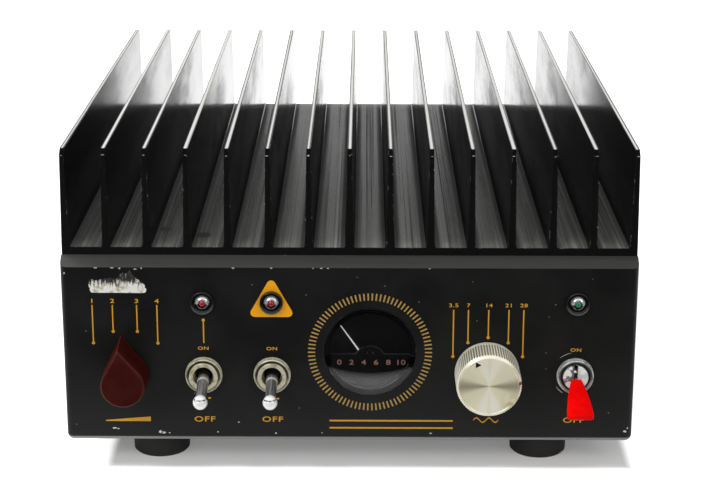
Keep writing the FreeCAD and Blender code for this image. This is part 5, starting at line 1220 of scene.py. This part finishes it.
# %% Floor: where it glows
material, tree, shader = finish("floor_white", (0.72, 0.72, 0.715), 0.85, Emission_Strength=1.0)
path = add(tree, "LightPath").outputs
mirrored = most(tree, path["Is Glossy Ray"], path["Is Transmission Ray"])
seen = most(tree, path["Is Camera Ray"], mirrored)
place = place_on(tree)
middle_x, half_wide = 8 * MM, 104 * MM
outside_x = minus(tree, calc(tree, "ABSOLUTE", minus(tree, place[0], middle_x)), half_wide)
behind = minus(tree, place[1], sink_high.y)
before = minus(tree, face - 2 * MM, place[1])
outside = most(tree, outside_x, most(tree, behind, before))
table_edge = ease(tree, place[1], face - 62 * MM, face - 50 * MM)
shown = flip(tree, times(tree, mirrored, flip(tree, table_edge)))
print("floor masks ready")

# %% [markdown]
# Real floors dim with every bounce between the fins, and this one glows, so its glow counts only
# for the first reflection, and less in front of the object than behind it. From below the floor is
# clear, so that the underside of the object can be looked at.

# %% Floor: glow and cloth
in_mirror = times(tree, ease(tree, place[1], face, sink_high.y, 0.6, 1.1),
                  calc(tree, "LESS_THAN", path["Glossy Depth"], 1.5))
level = flip(tree, times(tree, mirrored, flip(tree, in_mirror)))
lift = times(tree, ease(tree, outside, -1 * MM, 4 * MM, 0.2, 0.9), level, seen, shown)
glow = add(tree, "CombineColor", {0: lift, 1: lift, 2: lift}).outputs[0]
fill(tree, shader, "Emission Color", glow)
fill(tree, shader, "Base Color", layers(tree, rgb(0.0, 0.0, 0.0), (shown, (0.72, 0.72, 0.715))))
fill(tree, shader, "Alpha", flip(tree, add(tree, "NewGeometry").outputs["Backfacing"]))
emboss(tree, shader, mottle(tree, 70.0, 4.0), 0.4 * MM, 0.15)
print("finish", material.name)

# %% [markdown]
# The floor itself is one large face.

# %% Floor
floor_mesh = bmesh.new()
for x, y in ((-6, -6), (6, -6), (6, 8), (-6, 8)):
    floor_mesh.verts.new((x, y, 0.0))
floor_mesh.faces.new(floor_mesh.verts)
floor_data = bpy.data.meshes.new("floor")
floor_mesh.to_mesh(floor_data)
floor_mesh.free()
floor_data.materials.append(material)
floor = bpy.data.objects.new("floor", floor_data)
scene.collection.objects.link(floor)
print("floor", floor_data.vertices[2].co[:2])

# %% [markdown]
# The room has three faces. The camera sees plain white. Mirrors see a bright ceiling, a dim back
# wall that is bright near the floor, and a dark front, which is what gives black metal its shape.
# All other light is an even, low grey. A second reflection shows only a third of the room's light.

# %% Room
world = bpy.data.worlds.new("room")
scene.world = world
world.use_nodes = True
tree = world.node_tree
tree.nodes.clear()
path = add(tree, "LightPath").outputs
mirrored = most(tree, path["Is Glossy Ray"], path["Is Transmission Ray"])
direction = split(tree, add(tree, "TexCoord").outputs["Generated"])
ceiling = ease(tree, direction[2], 0.40, 0.62)
rearward = ease(tree, direction[1], 0.0, 0.3)
backdrop_low = times(tree, rearward, ease(tree, direction[2], 0.31, 0.12))
walls = most(tree, times(tree, rearward, 0.26), 0.03)
brightness = most(tree, most(tree, ceiling, backdrop_low), walls)
once = ease(tree, path["Glossy Depth"], 1.2, 1.8, 1.0, 0.35)
glow = layers(tree, rgb(0.0, 0.0, 0.0), (times(tree, brightness, once), (1.0, 1.0, 1.0)))
reflected = add(tree, "Background", {0: glow, 1: 1.0}).outputs[0]
ambient, backdrop = (add(tree, "Background", {0: rgb(1.0, 1.0, 1.0), 1: strength}).outputs[0]
                     for strength in (0.38, 1.0))
mixed = add(tree, "MixShader", {0: mirrored, 1: ambient, 2: reflected}).outputs[0]
mixed = add(tree, "MixShader", {0: path["Is Camera Ray"], 1: mixed, 2: backdrop}).outputs[0]
add(tree, "OutputWorld", {0: mixed})
print("room ready")

# %% [markdown]
# Three soft boxes: a large one high at the left, which throws the shadow to the right, and two
# weaker ones in front that keep the panel readable.

# %% Lamps


def softbox(name, place, target, width, height, power):
    """A rectangular lamp that faces a target."""
    data = bpy.data.lights.new(name, "AREA")
    data.shape = "RECTANGLE"
    data.size = width
    data.size_y = height
    data.energy = power
    lamp = bpy.data.objects.new(name, data)
    scene.collection.objects.link(lamp)
    lamp.location = place
    lamp.rotation_euler = (Vector(target) - Vector(place)).to_track_quat("-Z", "Y").to_euler()
    print("lamp", name, power, "W")


softbox("overhead", (-0.85, 0.12, 1.35), (0, 0, 0), 0.7, 0.35, 18.0)
softbox("front_left", (-0.75, -1.15, 0.85), (0, -0.1, 0.05), 0.7, 0.7, 5.5)
softbox("front_right", (0.9, -0.9, 0.6), (0, -0.1, 0.05), 0.5, 0.7, 2.6)

# %% [markdown]
# ## Camera
# The camera stands straight in front, a little under 17 degrees above the panel, with a long lens.
# Its axes are written out, because a track-to constraint can't give the slight yaw and roll.

# %% Camera
camera_data = bpy.data.cameras.new("camera")
camera_data.sensor_width = 36.0
camera_data.lens = 93.37
camera = bpy.data.objects.new("camera", camera_data)
scene.collection.objects.link(camera)
pitch, yaw, roll = math.radians(16.89), math.radians(-0.156), math.radians(0.126)
ahead = Vector((math.sin(yaw) * math.cos(pitch), math.cos(yaw) * math.cos(pitch), -math.sin(pitch)))
level_right = Vector((math.cos(yaw), -math.sin(yaw), 0.0))
level_up = level_right.cross(ahead)
right = math.cos(roll) * level_right + math.sin(roll) * level_up
above = math.cos(roll) * level_up - math.sin(roll) * level_right
turned = Matrix((right, above, -ahead)).transposed().to_4x4()
stand = (0.00601, face - 0.69706, 0.30685)
camera.matrix_world = Matrix.Translation(stand) @ turned
scene.camera = camera
scene.view_settings.view_transform = "Standard"
print("camera at", [round(v, 3) for v in camera.location])
